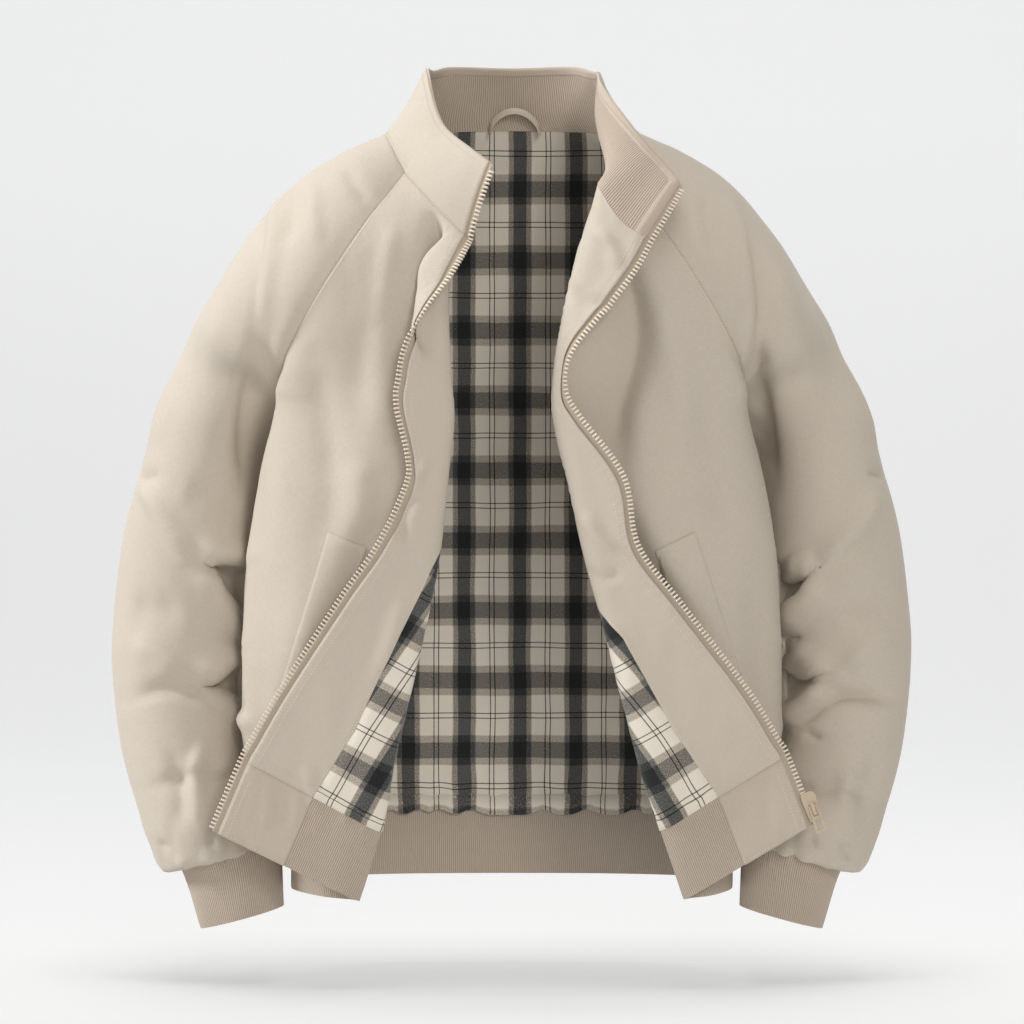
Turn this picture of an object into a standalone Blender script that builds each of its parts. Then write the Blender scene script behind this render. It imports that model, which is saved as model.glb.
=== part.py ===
"""Harrington jacket, worn shape with no wearer. Lengths in mm until a mesh is made; front faces -Y, +X is the wearer's left."""

import math

import bmesh
import bpy
import numpy as np

# ---------------------------------------------------------------- sizes
SEAM_GAP = 0.3          # between two pieces sewn together
LINING_INSET = 0.6      # lining and facing edges stand off further, as folds are tight
CUFF_INSET = 0.8        # a cuff is gathered in from its sleeve
COLLAR_INSET = 0.9      # the collar has half the columns, so it stands off further
SHELL = (0.9, 1.9)      # outer cloth, distances out from the middle surface
LINING = (-2.3, -1.3)   # lining and facings
COLLAR_RIB = (-2.6, -1.0)
RIB_BAND = (-1.5, 1.5)  # hem rib, tabs and cuffs
TAPE = (-0.5, 0.5)
TEETH = (-1.2, 1.2)
WELT = (2.2, 3.3)       # pocket welt, lying on the front panel
CLOTH_END = 7.0         # cloth stops this far from the zip's centre line
TAPE_FROM, TAPE_TO = 6.7, 3.6
TEETH_HALF = 2.5
COLLAR_HEIGHTS = (0, 0.3, 0.62, 0.88, 1)  # the last two bound its top strip
COLLAR_EDGE = 7.5       # width of the plain strip round the inside of the collar
FOLD_RADIUS = (3.0, 6.5)  # least and most, of the rolled front edge
SECOND_RADIUS = 4.5
MOST_REACH = 1.6        # times the inset, at a corner of a piece
BODY_COLUMNS = 10       # columns of a front from the side to the facing seam
FACING_COLUMNS = 6
BACK_COLUMNS = 12
SLEEVE_COLUMNS = 16

# Rows of the body, hem to neck. side and corner are (x, y) on the wearer's left; belly and back are y.
BODY_ROWS = (
    # name        z     side x,y    corner x,y   belly  back_y back_z
    ("hem_edge", -692, 200, 10, 196, -62, -104, 116, -694),
    ("hem_seam", -631, 203, 10, 198, -64, -107, 118, -633),
    ("blouse", -612, 222, 12, 228, -66, -116, 128, -618),
    ("hip", -552, 214, 14, 241, -64, -121, 127, -556),
    ("low_waist", -452, 205, 15, 240, -66, -125, 124, -454),
    ("waist", -388, 202, 15, 236, -68, -126, 123, -389),
    ("chest_low", -325, 192, 15, 226, -70, -126, 125, -325),
    ("R0", -262, 194, 12, 208, -84, -124, 126, -268),
)
# Front and back raglan seams, underarm to neck, on the wearer's left (x, y, z); back_mid is the back's middle (y, z).
RAGLAN_ROWS = (
    # name  front x,y,z       corner x,y   belly  back x,y,z        back_mid
    ("R1", 204, -46, -240, 206, -94, -123, 203, 48, -237, 126, -245),
    ("R2", 203, -92, -215, 193, -108, -123, 202, 92, -208, 125, -212),
    ("R3", 192, -110, -191, 172, -119, -124, 190, 108, -172, 123, -174),
    ("R4", 176, -120, -163, 152, -124, -125, 172, 115, -130, 119, -130),
    ("R5", 153, -122, -127, 132, -124, -124, 148, 112, -85, 112, -84),
    ("R6", 127, -108, -88, 112, -114, -119, 118, 95, -40, 102, -38),
)
NECK_BACK = (88, 58, 4, 84, 8)  # back seam point x, y, z, then the middle's y, z

# The rolled front edges. F is the fold, K the second fold (kf is where it lies between F and the zip where it is flat).
RIGHT_EDGE = (
    # name        F x,   y,    z      K x,  y,   z     zip x,  y,   z     facing width
    ("hem_edge", -137, -113, -697, None, None, None, -267, -125, -633, 72),
    ("hem_seam", -118, -117, -635, None, None, None, -240, -128, -570, 72),
    ("blouse", -114.5, -123, -618, None, None, None, -231.5, -131, -555, 73),
    ("hip", -103.5, -128, -561.5, None, None, None, -204, -138, -508, 75),
    ("low_waist", -82, -131, -469, None, None, None, -151, -145, -427, 61),
    ("waist", -69, -132, -408, None, None, None, -116, -147, -376, 52),
    ("chest_low", -60.6, -133, -346, None, None, None, -91.5, -148, -318, 51),
    ("R0", -54, -132, -283, None, None, None, -102, -148, -257, 58),
    ("R1", -53, -131, -261, None, None, None, -100, -149, -233, 66),
    ("R2", -55, -130, -233, None, None, None, -95, -150, -208, 67),
    ("R3", -56, -128, -211, -86.5, -142, -195, -85, -151, -187, 66),
    ("R4", -57.5, -126, -185, -85, -139, -175, -72, -149, -166, 66),
    ("R5", -58, -121, -161, -83, -133, -157, -58, -143, -147, 70),
    ("R6", -58.5, -111, -130, -78, -123, -127, -47.5, -133, -129.5, 74),
)
LEFT_EDGE = (
    ("hem_edge", 154, -114, -695.5, None, None, None, 268, -125, -627, 72),
    ("hem_seam", 133.5, -118, -634, None, None, None, 244, -128, -566, 72),
    ("blouse", 128, -123, -617, None, None, None, 235, -131, -551.5, 73),
    ("hip", 110.6, -128, -564, None, None, None, 206.6, -138, -506, 75),
    ("low_waist", 87.6, -131, -470, None, None, None, 148, -145, -430, 60),
    ("waist", 71, -132, -410, None, None, None, 111, -147, -380, 62),
    ("chest_low", 56.6, -134, -348, None, None, None, 98.6, -148, -320, 67),
    ("R0", 42.5, -134, -278.5, None, None, None, 61.6, -148, -269, 67),
    ("R1", 39, -134, -255, None, None, None, 49, -147, -248, 67),
    ("R2", 40, -134, -228, None, None, None, 48.4, -147, -224, 67),
    ("R3", 42.5, -133, -203, None, None, None, 57, -147, -203, 67),
    ("R4", 48, -131, -175, None, None, None, 76.6, -147, -178.6, 68),
    ("R5", 55.7, -128, -141, None, None, None, 96, -146, -155.6, 69),
    ("R6", 66.4, -124, -103, None, None, None, 111, -143, -134.5, 78),
)
# Neck edge of each front, raglan seam to zip (x, y, z).
RIGHT_NECK = (
    (-97, -70, -46), (-86, -85, -58), (-75, -97, -71), (-67, -103, -80), (-62, -106, -85.5),
    (-57, -108.5, -90.5), (-52, -110.5, -95), (-49, -111.5, -98), (-46, -112.5, -101), (-37, -115, -109),
)
LEFT_NECK = (
    (99, -78, -46), (93, -92, -50), (86, -105, -54), (80, -113, -57), (78, -118, -60.5),
    (79.5, -123, -66), (88.6, -130, -83), (97, -133, -94), (106, -135, -101), (123, -138, -112),
)
NECK_FACING = (64, 97)

# Collar stations: neck seam (found on the neck edge), then middle and top (x, y, z).
COLLAR = (
    # name       seam x,y,z          middle x,y,z        top x,y,z
    ("R_zip", -37, -115, -109, -28, -119, -76, -16, -115, -43),
    ("R_mid", -64, -105, -83.5, -53, -105, -54, -38, -95, -25),
    ("R_raglan", -97, -70, -46, -82, -70, -22, -62, -60, -1),
    ("R_side", -116, -5, -6, -95, -5, 22, -77, -5, 53),
    ("R_back", -88, 58, 4, -80, 52, 33, -72, 42, 59.5),
    ("R_corner", -62, 72, 6, -58, 68, 35, -60, 60, 64),
    ("back", 0, 84, 8, 0, 80, 36, 0, 72, 64.5),
    ("L_corner", 62, 72, 6, 60, 68, 35, 62, 60, 64),
    ("L_back", 88, 58, 4, 80, 52, 32, 75, 42, 58.5),
    ("L_side", 114, -2, -3, 93, 3, 24, 80, 8, 53),
    ("L_raglan", 99, -78, -46, 81, -54, -10, 90, -42, 24),
    ("L_fold", 78, -118, -60.5, 97, -108, -41, 119, -85, -20),
    ("L_flap", 97, -133, -94, 118, -121, -67, 138, -101, -43),
    ("L_zip", 123, -138, -112, 138, -129, -87, 152, -115, -63),
)

# Sleeve rows above the underarm: outline point (x, y, z), half depth front and back, opening angle of the arc.
SLEEVE_TOP = (
    # name  x    y   z    front back  angle
    ("R7", 116, -4, -5, 67, 64, 75),
    ("R6", 158, -3, -25, 107, 99, 80),
    ("R5", 198, -1, -51, 121, 113, 90),
    ("R4", 231, 0, -88, 120, 115, 100),
    ("R3", 251, 2, -115, 114, 112, 115),
    ("R2", 272, 4, -148, 104, 103, 130),
    ("R1", 290, 6, -178, 92, 90, 155),
    ("R0", 305, 8, -213, 66, 64, 180),
)
# Rows near the underarm leave their seam at an angle, so that sleeve and side stand apart.
POINTED = {"R1": 0.5, "R0": 1.0, "T1": 0.3}
# Sleeve tube: outer and inner outline points (x, z), middle y and half depth.
SLEEVE_TUBE = (
    # name  outer x,z   inner x,z   y    half depth
    ("T1", 326, -262, 224, -292, 12, 68),
    ("T2", 341, -315, 230, -348, 8, 68),
    ("T3", 354, -365, 233, -395, 4, 67),
    ("T4", 361, -415, 241, -438, 0, 64),
    ("T5", 365, -470, 246, -482, -4, 62),
    ("T6", 362, -520, 248, -525, -10, 60),
    ("T7", 354, -572, 247, -560, -18, 58),
    ("T8", 340, -618, 241, -592, -28, 55),
    ("T9", 329, -650, 231, -622, -36, 50),
    ("T10", 316, -676, 217, -649, -41, 44),
    ("cuff_seam", 300, -673, 211, -649, -41, 36),
)
CUFF_BOTTOM = (281, -728, 208, -708, -45, 31)

# Dents and valleys of the sleeves, in the front view: corners (x, z) on the wearer's left, depth, soft edge.
SLEEVE_DENTS_LEFT = (
    ((281, -399), (242, -394), (242, -464), 22, 16),
    ((286, -498), (249, -464), (240, -546), 18, 16),
)
SLEEVE_DENTS_RIGHT = (
    ((280, -394), (237, -397), (243, -476), 22, 16),
    ((281, -508), (243, -476), (234, -548), 18, 16),
)
# Valley running down outside each raglan seam: x, z at its ends, half width, depth.
DRAPE_VALLEY = ((214, -70), (228, -330), 17, 9)

# Pocket welts on the fronts: corners (x, z), top outer, top inner, bottom inner, bottom outer.
WELT_RIGHT = ((-162.6, -369.7), (-128.8, -383), (-170, -521), (-206, -511))
WELT_LEFT = ((161.7, -369), (129, -385), (168, -509), (203, -497))

LOOP_PATH = ((-21, 75, 4), (-18, 73, 14), (-8, 70, 22.5), (3, 69, 25), (14, 70, 21.5), (23, 73, 13), (26, 75, 3))
LOOP_WIDTH, LOOP_THICK = 6.5, 1.4


# ---------------------------------------------------------------- curves
def tangents(points, knots):
    """Slope of a smooth curve through the points at each knot."""
    steps = np.diff(knots)[:, None]
    slopes = np.diff(points, axis=0) / steps
    inner = (slopes[:-1] * steps[1:] + slopes[1:] * steps[:-1]) / (steps[:-1] + steps[1:])
    return np.vstack([slopes[:1], inner, slopes[-1:]])


def curve(points, knots, at):
    """Points of the smooth curve at the knot values `at`; past an end it goes straight on."""
    points, knots, at = (np.asarray(v, float) for v in (points, knots, at))
    slope = tangents(points, knots)
    inside = np.clip(at, knots[0], knots[-1])
    k = np.clip(np.searchsorted(knots, inside, side="right") - 1, 0, len(knots) - 2)
    step = (knots[k + 1] - knots[k])[:, None]
    t = (inside[:, None] - knots[k][:, None]) / step
    value = (
        points[k] * (2 * t**3 - 3 * t**2 + 1)
        + points[k + 1] * (3 * t**2 - 2 * t**3)
        + slope[k] * step * (t**3 - 2 * t**2 + t)
        + slope[k + 1] * step * (t**3 - t**2)
    )
    return value + slope[np.where(at < knots[0], 0, -1)] * (at - inside)[:, None]


def knots_of(points, power=0.5):
    gaps = np.maximum(np.linalg.norm(np.diff(points, axis=0), axis=1), 1e-6) ** power
    return np.concatenate([[0], np.cumsum(gaps)])


def dense(points, count=400):
    points = np.asarray(points, float)
    knots = knots_of(points)
    at = np.linspace(0, knots[-1], count)
    line = curve(points, knots, at)
    return line, knots_of(line, 1.0)


def along(line, lengths, at):
    """Points at the given lengths along a dense line, straight on past its ends."""
    out = np.stack([np.interp(at, lengths, line[:, c]) for c in range(3)], axis=1)
    start = (line[1] - line[0]) / (lengths[1] - lengths[0])
    end = (line[-1] - line[-2]) / (lengths[-1] - lengths[-2])
    at = np.asarray(at, float)
    out += np.minimum(at, 0)[:, None] * start
    return out + np.maximum(at - lengths[-1], 0)[:, None] * end


def spread(start, end, count, peaks, height=6.0, width=10.0):
    """count + 1 lengths from start to end, closer together near each peak."""
    s = np.linspace(start, end, 400)
    weight = 1 + sum(height * np.exp(-(((s - p) / width) ** 2)) for p in peaks)
    total = np.concatenate([[0], np.cumsum((weight[1:] + weight[:-1]) / 2)])
    return np.interp(np.linspace(0, total[-1], count + 1), total, s)


def resample_rows(table, rows):
    """A row table (rows x points x 3) at fractional row numbers."""
    table = np.asarray(table, float)
    flat = curve(table.reshape(len(table), -1), np.arange(len(table)), rows)
    return flat.reshape(len(rows), table.shape[1], 3)


# ---------------------------------------------------------------- fronts
def fold_points(before, fold, after, radius):
    """Three points round a fold whose cloth comes from `before` and leaves to `after`, in front of it."""
    before, fold, after = (np.asarray(v, float) for v in (before, fold, after))
    back, front = before - fold, after - fold
    back[1] = front[1] = 0
    back, front = back / np.linalg.norm(back), front / np.linalg.norm(front)
    drop = np.array([0, radius, 0])
    return [fold + back * radius + drop, fold, fold + front * radius - drop]


def front_controls(side):
    """Control points of every row of one front, side seam to zip: rows x 10 x 3."""
    edge = RIGHT_EDGE if side < 0 else LEFT_EDGE
    rows = []
    for k, (_, fx, fy, fz, kx, ky, kz, zx, zy, zz, _) in enumerate(edge):
        if k < len(BODY_ROWS):
            _, z, sx, sy, cx, cy, belly, _, _ = BODY_ROWS[k]
            seam, corner = (side * sx, sy, z), (side * cx, cy, z)
        else:
            _, sx, sy, sz, cx, cy, belly = RAGLAN_ROWS[k - len(BODY_ROWS)][:7]
            seam = (side * sx, sy, sz)
            share = (sx - cx) / (sx - abs(fx))
            corner = (side * cx, cy, sz + (fz - sz) * share)
        fold, zip_point = np.array([fx, fy, fz]), np.array([zx, zy, zz])
        middle = (np.array(corner) + fold) / 2
        middle[1] = belly
        second = np.array([kx, ky, kz]) if kx is not None else None
        target = zip_point if second is None else second
        radius = np.clip(0.42 * np.linalg.norm(target - fold), *FOLD_RADIUS)
        first = fold_points(middle, fold, target, radius)
        if second is None:
            start = first[2]
            later = [start + (zip_point - start) * f for f in (0.42, 0.55, 0.68)]
        else:
            later = fold_points(fold, second, zip_point, min(SECOND_RADIUS, 0.4 * np.linalg.norm(zip_point - second)))
        rows.append([seam, corner, middle, *first, *later, zip_point])
    rows.append(RIGHT_NECK if side < 0 else LEFT_NECK)
    return np.array([[tuple(p) for p in row] for row in rows], float)


def facing_widths(side):
    edge = RIGHT_EDGE if side < 0 else LEFT_EDGE
    return np.array([row[-1] for row in edge] + [NECK_FACING[0 if side < 0 else 1]], float)


def front_patch(side, rows, body_columns, facing_columns):
    """Grid of one front (rows x columns x 3), and the same rows' tape and teeth lines."""
    controls = resample_rows(front_controls(side), rows)
    widths = np.interp(rows, np.arange(len(facing_widths(side))), facing_widths(side))
    cloth, trim = [], []
    for control, width in zip(controls, widths):
        line, lengths = dense(control)
        end = lengths[-1]
        folds = []
        for index in (4, 7):
            near = np.argmin(np.linalg.norm(line - control[index], axis=1))
            folds.append(lengths[near])
        body = spread(0, end - width, body_columns, folds[:1])
        facing = spread(end - width, end - CLOTH_END, facing_columns, folds)
        cloth.append(along(line, lengths, np.concatenate([body, facing[1:]])))
        marks = [end - TAPE_FROM, end - TAPE_TO, end - TEETH_HALF, end + TEETH_HALF]
        trim.append(along(line, lengths, marks))
    return np.array(cloth), np.array(trim)


# ---------------------------------------------------------------- back
def back_controls():
    rows = []
    seams = [(sx, sy, z, by, bz) for _, z, sx, sy, _, _, _, by, bz in BODY_ROWS]
    seams += [(row[7], row[8], row[9], row[10], row[11]) for row in RAGLAN_ROWS]
    seams.append(NECK_BACK)
    for k, (sx, sy, sz, by, bz) in enumerate(seams):
        box = 0.78 if k < len(BODY_ROWS) else min(1.0, 0.78 + 0.06 * (k - len(BODY_ROWS) + 1))
        row = []
        for turn in np.linspace(-1, 1, 13):
            angle = (1 - abs(turn)) * math.pi / 2
            x = sx * math.cos(angle) ** box * (1 if turn > 0 else -1)
            rise = math.sin(angle) ** box
            row.append((x, sy + (by - sy) * rise, sz + (bz - sz) * rise))
        rows.append(row)
    return np.array(rows)


def back_patch(rows, columns):
    controls = resample_rows(back_controls(), rows)
    out = []
    for control in controls:
        line, lengths = dense(control)
        out.append(along(line, lengths, np.linspace(0, lengths[-1], columns + 1)))
    return np.array(out)


# ---------------------------------------------------------------- sleeves
def arc_half(top, seam, depth, angle, front, steps, pointed=0.0):
    """Cloth from the outline point to a raglan seam point, bulging in y. A pointed arc opens fast at its seam."""
    s = np.linspace(0, 1, steps)
    phi = s * math.radians(angle)
    most = math.radians(angle)
    share = (1 - np.cos(phi)) / (1 - math.cos(most))
    share = share + pointed * (s - share) * s**2
    sign = -1 if front else 1
    x = top[0] + (seam[0] - top[0]) * share
    z = top[2] + (seam[2] - top[2]) * share
    y = top[1] + sign * depth * np.sin(phi)
    y = y + (seam[1] - top[1] - sign * depth * math.sin(most)) * s**2
    return np.stack([x, y, z], axis=1)


def sleeve_controls(side):
    """Every sleeve row as 2 * half + 1 points, front seam over the outside to the back seam."""
    half = SLEEVE_COLUMNS // 2
    rows = []
    neck = RIGHT_NECK[0] if side < 0 else LEFT_NECK[0]
    fronts = {"R7": (abs(neck[0]), neck[1], neck[2]), "R0": (BODY_ROWS[-1][2], BODY_ROWS[-1][3], BODY_ROWS[-1][1])}
    backs = {"R7": NECK_BACK[:3], "R0": fronts["R0"]}
    for name, fx, fy, fz, _, _, _, bx, by, bz, _, _ in RAGLAN_ROWS:
        fronts[name], backs[name] = (fx, fy, fz), (bx, by, bz)
    for name, x, y, z, front, back, angle in SLEEVE_TOP:
        sharp = POINTED.get(name, 0.0)
        ahead = arc_half((x, y, z), fronts[name], front, angle, True, half + 1, sharp)
        behind = arc_half((x, y, z), backs[name], back, angle, False, half + 1, sharp)
        rows.append(np.vstack([ahead[::-1], behind[1:]]))
    for name, ox, oz, ix, iz, y, depth in SLEEVE_TUBE + (("cuff_bottom",) + CUFF_BOTTOM,):
        top, seam = (ox, y, oz), (ix, y, iz)
        sharp = POINTED.get(name, 0.0)
        ahead = arc_half(top, seam, depth, 180, True, half + 1, sharp)
        behind = arc_half(top, seam, depth, 180, False, half + 1, sharp)
        rows.append(np.vstack([ahead[::-1], behind[1:]]))
    table = np.array(rows)
    table[:, :, 0] *= side
    return table


def dent(x, z, corners, depth, soft):
    """Depth of a three-cornered dent at (x, z): full inside the triangle, soft outside its sides."""
    a, b, c = (np.array(p, float) for p in corners)
    nearest = np.full(x.shape, 1e9)
    inside = np.ones(x.shape, bool)
    turn = np.sign((b[0] - a[0]) * (c[1] - a[1]) - (b[1] - a[1]) * (c[0] - a[0]))
    for p, q in ((a, b), (b, c), (c, a)):
        edge = (q - p) / np.linalg.norm(q - p)
        across = turn * (edge[0] * (z - p[1]) - edge[1] * (x - p[0]))
        inside &= across > 0
        nearest = np.minimum(nearest, across)
    far = np.clip(nearest / soft, 0, 1)
    return np.where(inside, depth * (1 - (1 - far) ** 2), 0)


def sleeve_folds(points, side):
    """Pushes the sleeve's front in where its large folds lie."""
    x, y, z = np.abs(points[..., 0]), points[..., 1], points[..., 2]
    middle = np.interp(-z, (100, 300, 450, 600, 700), (4, 12, 0, -22, -42))
    ahead = np.clip((middle + 5 - y) / 30, 0, 1)
    push = np.zeros(x.shape)
    for *corners, depth, soft in SLEEVE_DENTS_LEFT if side > 0 else SLEEVE_DENTS_RIGHT:
        push += dent(x, z, corners, depth, soft)
    (x0, z0), (x1, z1), wide, deep = DRAPE_VALLEY
    t = (z - z0) / (z1 - z0)
    line = x0 + (x1 - x0) * t
    ends = np.clip(t / 0.3, 0, 1) * np.clip((1.08 - t) / 0.35, 0, 1)
    push += deep * np.exp(-(((x - line) / wide) ** 2)) * ends
    moved = points.copy()
    moved[..., 1] += push * ahead
    return moved


def sleeve_patch(side, rows, columns):
    controls = resample_rows(sleeve_controls(side), rows)
    out = []
    for control in controls:
        line, lengths = dense(control)
        out.append(along(line, lengths, np.linspace(0, lengths[-1], columns + 1)))
    out = np.array(out)
    folded = sleeve_folds(out, side)
    folded[:, 0], folded[:, -1] = out[:, 0], out[:, -1]
    return folded


# ---------------------------------------------------------------- collar
def collar_patch(seam, heights):
    """Collar grid over a neck seam line: heights x seam points x 3. Also its tape and teeth lines at both ends."""
    gaps = knots_of(seam, 1.0)
    knots, middle, top = [], [], []
    for _, sx, sy, sz, *rest in COLLAR:
        knots.append(gaps[np.argmin(np.linalg.norm(seam - np.array([sx, sy, sz]), axis=1))])
        middle.append(rest[:3])
        top.append(rest[3:])
    knots[0], knots[-1] = -CLOTH_END, gaps[-1] + CLOTH_END
    knots, middle, top = np.array(knots), np.array(middle, float), np.array(top, float)
    ends = [-CLOTH_END + m for m in (-TEETH_HALF, TEETH_HALF, TAPE_TO, TAPE_FROM)]
    marks = np.concatenate([ends, gaps, [gaps[-1] - e for e in ends[::-1]]])
    upper, centre = curve(top, knots, marks), curve(middle, knots, marks)
    first = seam[0] + np.array(ends)[:, None] * (seam[1] - seam[0]) / (gaps[1] - gaps[0])
    last = seam[-1] - np.array(ends[::-1])[:, None] * (seam[-1] - seam[-2]) / (gaps[-1] - gaps[-2])
    lower = np.vstack([first, seam, last])
    rows = []
    for v in heights:
        rows.append(
            lower * (1 - v) * (1 - 2 * v) + centre * 4 * v * (1 - v) + upper * v * (2 * v - 1)
        )
    return np.array(rows)


# ---------------------------------------------------------------- solids
class Surface:
    """All patches as one mesh, so that neighbours share the normals of a seam."""

    def __init__(self):
        self.points, self.faces, self.grids = [], [], {}
        self.count = 0

    def add(self, name, grid, flip):
        rows, columns = grid.shape[:2]
        index = np.arange(rows * columns).reshape(rows, columns) + self.count
        self.points.append(grid.reshape(-1, 3))
        self.count += rows * columns
        self.grids[name] = (index, flip)

    def weld(self):
        points = np.vstack(self.points)
        _, first, where = np.unique(
            np.round(points, 2), axis=0, return_index=True, return_inverse=True
        )
        self.points = points[first]
        where = where.reshape(-1)
        self.grids = {n: (where[g], flip) for n, (g, flip) in self.grids.items()}
        triangles = np.vstack([self.triangles(n) for n in self.grids])
        self.normals = normals_of(self.points, triangles)

    def triangles(self, name, rows=slice(None), columns=slice(None)):
        grid, flip = self.grids[name]
        return grid_triangles(grid[rows, columns], flip)


def grid_triangles(grid, flip):
    a, b, c, d = grid[:-1, :-1], grid[:-1, 1:], grid[1:, 1:], grid[1:, :-1]
    first = np.stack([a, b, c], axis=-1).reshape(-1, 3)
    second = np.stack([a, c, d], axis=-1).reshape(-1, 3)
    faces = np.vstack([first, second])
    keep = (
        (faces[:, 0] != faces[:, 1]) & (faces[:, 1] != faces[:, 2]) & (faces[:, 0] != faces[:, 2])
    )
    faces = faces[keep]
    return faces[:, ::-1] if flip else faces


def normals_of(points, faces):
    """Normals weighted by the angle of each face at the point."""
    corners = points[faces]
    across = np.cross(corners[:, 1] - corners[:, 0], corners[:, 2] - corners[:, 0])
    across /= np.maximum(np.linalg.norm(across, axis=1), 1e-9)[:, None]
    total = np.zeros(points.shape)
    for k in range(3):
        u = corners[:, (k + 1) % 3] - corners[:, k]
        v = corners[:, (k + 2) % 3] - corners[:, k]
        cosine = (u * v).sum(1) / np.maximum(np.linalg.norm(u, axis=1) * np.linalg.norm(v, axis=1), 1e-9)
        np.add.at(total, faces[:, k], across * np.arccos(np.clip(cosine, -1, 1))[:, None])
    return total / np.maximum(np.linalg.norm(total, axis=1), 1e-9)[:, None]


def edges_alone(faces):
    """Directed edges that only one face has."""
    ends = np.vstack([faces[:, [0, 1]], faces[:, [1, 2]], faces[:, [2, 0]]])
    keys = {}
    for a, b in ends:
        keys[(int(a), int(b))] = True
    return [(a, b) for a, b in keys if (b, a) not in keys]


def slab(name, points, normals, faces, layer, colour, inset=SEAM_GAP / 2):
    """A closed wall over the faces: inner and outer skins joined round the edge, drawn in by the inset. A rim
    point moves along a facet's edge where one leads inward, so that it stays on the folded cloth."""
    used = np.unique(faces)
    where = {int(old): new for new, old in enumerate(used)}
    points, normals = points[used], normals[used]
    faces = np.vectorize(where.get)(faces)
    rim = edges_alone(faces)
    inward = np.zeros(points.shape)
    for a, b in rim:
        edge = points[b] - points[a]
        edge /= max(np.linalg.norm(edge), 1e-9)
        for p in (a, b):
            inward[p] += np.cross(normals[p], edge)
    length = np.linalg.norm(inward, axis=1)
    moving = length > 1e-6
    inward[moving] /= length[moving][:, None]
    stretch = np.minimum(2 / np.maximum(length, 1e-6), MOST_REACH)
    beside = {}
    for face in faces.tolist():
        for k in range(3):
            beside.setdefault(face[k], set()).update((face[k - 1], face[k - 2]))
    base, leaned = points.copy(), normals.copy()
    for k in np.flatnonzero(moving):
        best, pick = 0.35, None
        for other in beside[int(k)]:
            step = points[other] - points[k]
            agree = step.dot(inward[k]) / max(np.linalg.norm(step), 1e-9)
            if agree > best:
                best, pick = agree, other
        if pick is None:
            base[k] += inward[k] * inset * stretch[k]
            continue
        step = points[pick] - points[k]
        share = min(0.4, inset * stretch[k] / (best * np.linalg.norm(step)))
        base[k] += step * share
        leaned[k] = normals[k] * (1 - share) + normals[pick] * share
    low, high = base + leaned * layer[0], base + leaned * layer[1]
    count = len(points)
    skin = [tuple(f + count) for f in faces] + [tuple(f[::-1]) for f in faces]
    for a, b in rim:
        skin.append((b + count, a + count, a))
        skin.append((b + count, a, b))
    return make(name, np.vstack([low, high]), skin, colour)


def make(name, points, faces, colour, rough=0.85):
    mesh = bpy.data.meshes.new(name)
    mesh.from_pydata([tuple(p / 1000) for p in np.asarray(points, float)], [], [tuple(map(int, f)) for f in faces])
    mesh.update()
    body = bpy.data.objects.new(name, mesh)
    bpy.context.scene.collection.objects.link(body)
    material = bpy.data.materials.new(name)
    material.use_nodes = True
    shader = material.node_tree.nodes["Principled BSDF"]
    shader.inputs["Base Color"].default_value = colour
    shader.inputs["Roughness"].default_value = rough
    material.diffuse_color = colour
    mesh.materials.append(material)
    return body


def strip_normals(strip):
    """Normals of a long strip given as rows x 2 x 3."""
    down = np.gradient(strip.mean(axis=1), axis=0)
    across = strip[:, 1] - strip[:, 0]
    normal = np.cross(down, across)
    normal /= np.linalg.norm(normal, axis=1)[:, None]
    return np.repeat(normal[:, None], 2, axis=1)


def clip_to(corners, points, normals, faces):
    """Triangles cut to a four-cornered outline in the front view, as new points, normals and faces."""
    ring = np.array(corners, float)
    area = sum(
        ring[i - 1][0] * ring[i][1] - ring[i][0] * ring[i - 1][1] for i in range(len(ring))
    )
    if area < 0:
        ring = ring[::-1]
    pool, out = [], []

    def number(v):
        for k, w in enumerate(pool):
            if np.abs(w[:3] - v[:3]).max() < 1e-4:
                return k
        pool.append(v)
        return len(pool) - 1

    for face in faces:
        shape = [np.concatenate([points[k], normals[k]]) for k in face]
        for i in range(len(ring)):
            p, q = ring[i - 1], ring[i]
            kept = []
            for k, here in enumerate(shape):
                past = shape[k - 1]
                side_here = (q[0] - p[0]) * (here[2] - p[1]) - (q[1] - p[1]) * (here[0] - p[0])
                side_past = (q[0] - p[0]) * (past[2] - p[1]) - (q[1] - p[1]) * (past[0] - p[0])
                if (side_here >= 0) != (side_past >= 0):
                    t = side_past / (side_past - side_here)
                    kept.append(past + (here - past) * t)
                if side_here >= 0:
                    kept.append(here)
            shape = kept
            if len(shape) < 3:
                break
        if len(shape) >= 3:
            ids = [number(v) for v in shape]
            ids = [v for k, v in enumerate(ids) if v != ids[k - 1]]
            for k in range(1, len(ids) - 1):
                out.append((ids[0], ids[k], ids[k + 1]))
    pool = np.array(pool)
    return pool[:, :3], pool[:, 3:], np.array(out)


def ribbon(name, path, width, thick, up, colour):
    """A flat strip of cloth along a path, its width across `up`."""
    line, lengths = dense(path, 60)
    stations = along(line, lengths, np.linspace(0, lengths[-1], 15))
    ahead = np.gradient(stations, axis=0)
    ahead /= np.linalg.norm(ahead, axis=1)[:, None]
    side = np.cross(ahead, np.array(up, float))
    side /= np.linalg.norm(side, axis=1)[:, None]
    wide = np.cross(side, ahead)
    ring = []
    for p, s, w in zip(stations, side, wide):
        for a, b in ((-1, -1), (1, -1), (1, 1), (-1, 1)):
            ring.append(p + w * a * width / 2 + s * b * thick / 2)
    faces = [(3, 2, 1, 0)]
    last = 4 * (len(stations) - 1)
    for k in range(len(stations) - 1):
        for j in range(4):
            a, b = 4 * k + j, 4 * k + (j + 1) % 4
            faces.append((a, b, b + 4, a + 4))
    faces.append((last, last + 1, last + 2, last + 3))
    return make(name, ring, faces, colour)


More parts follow.
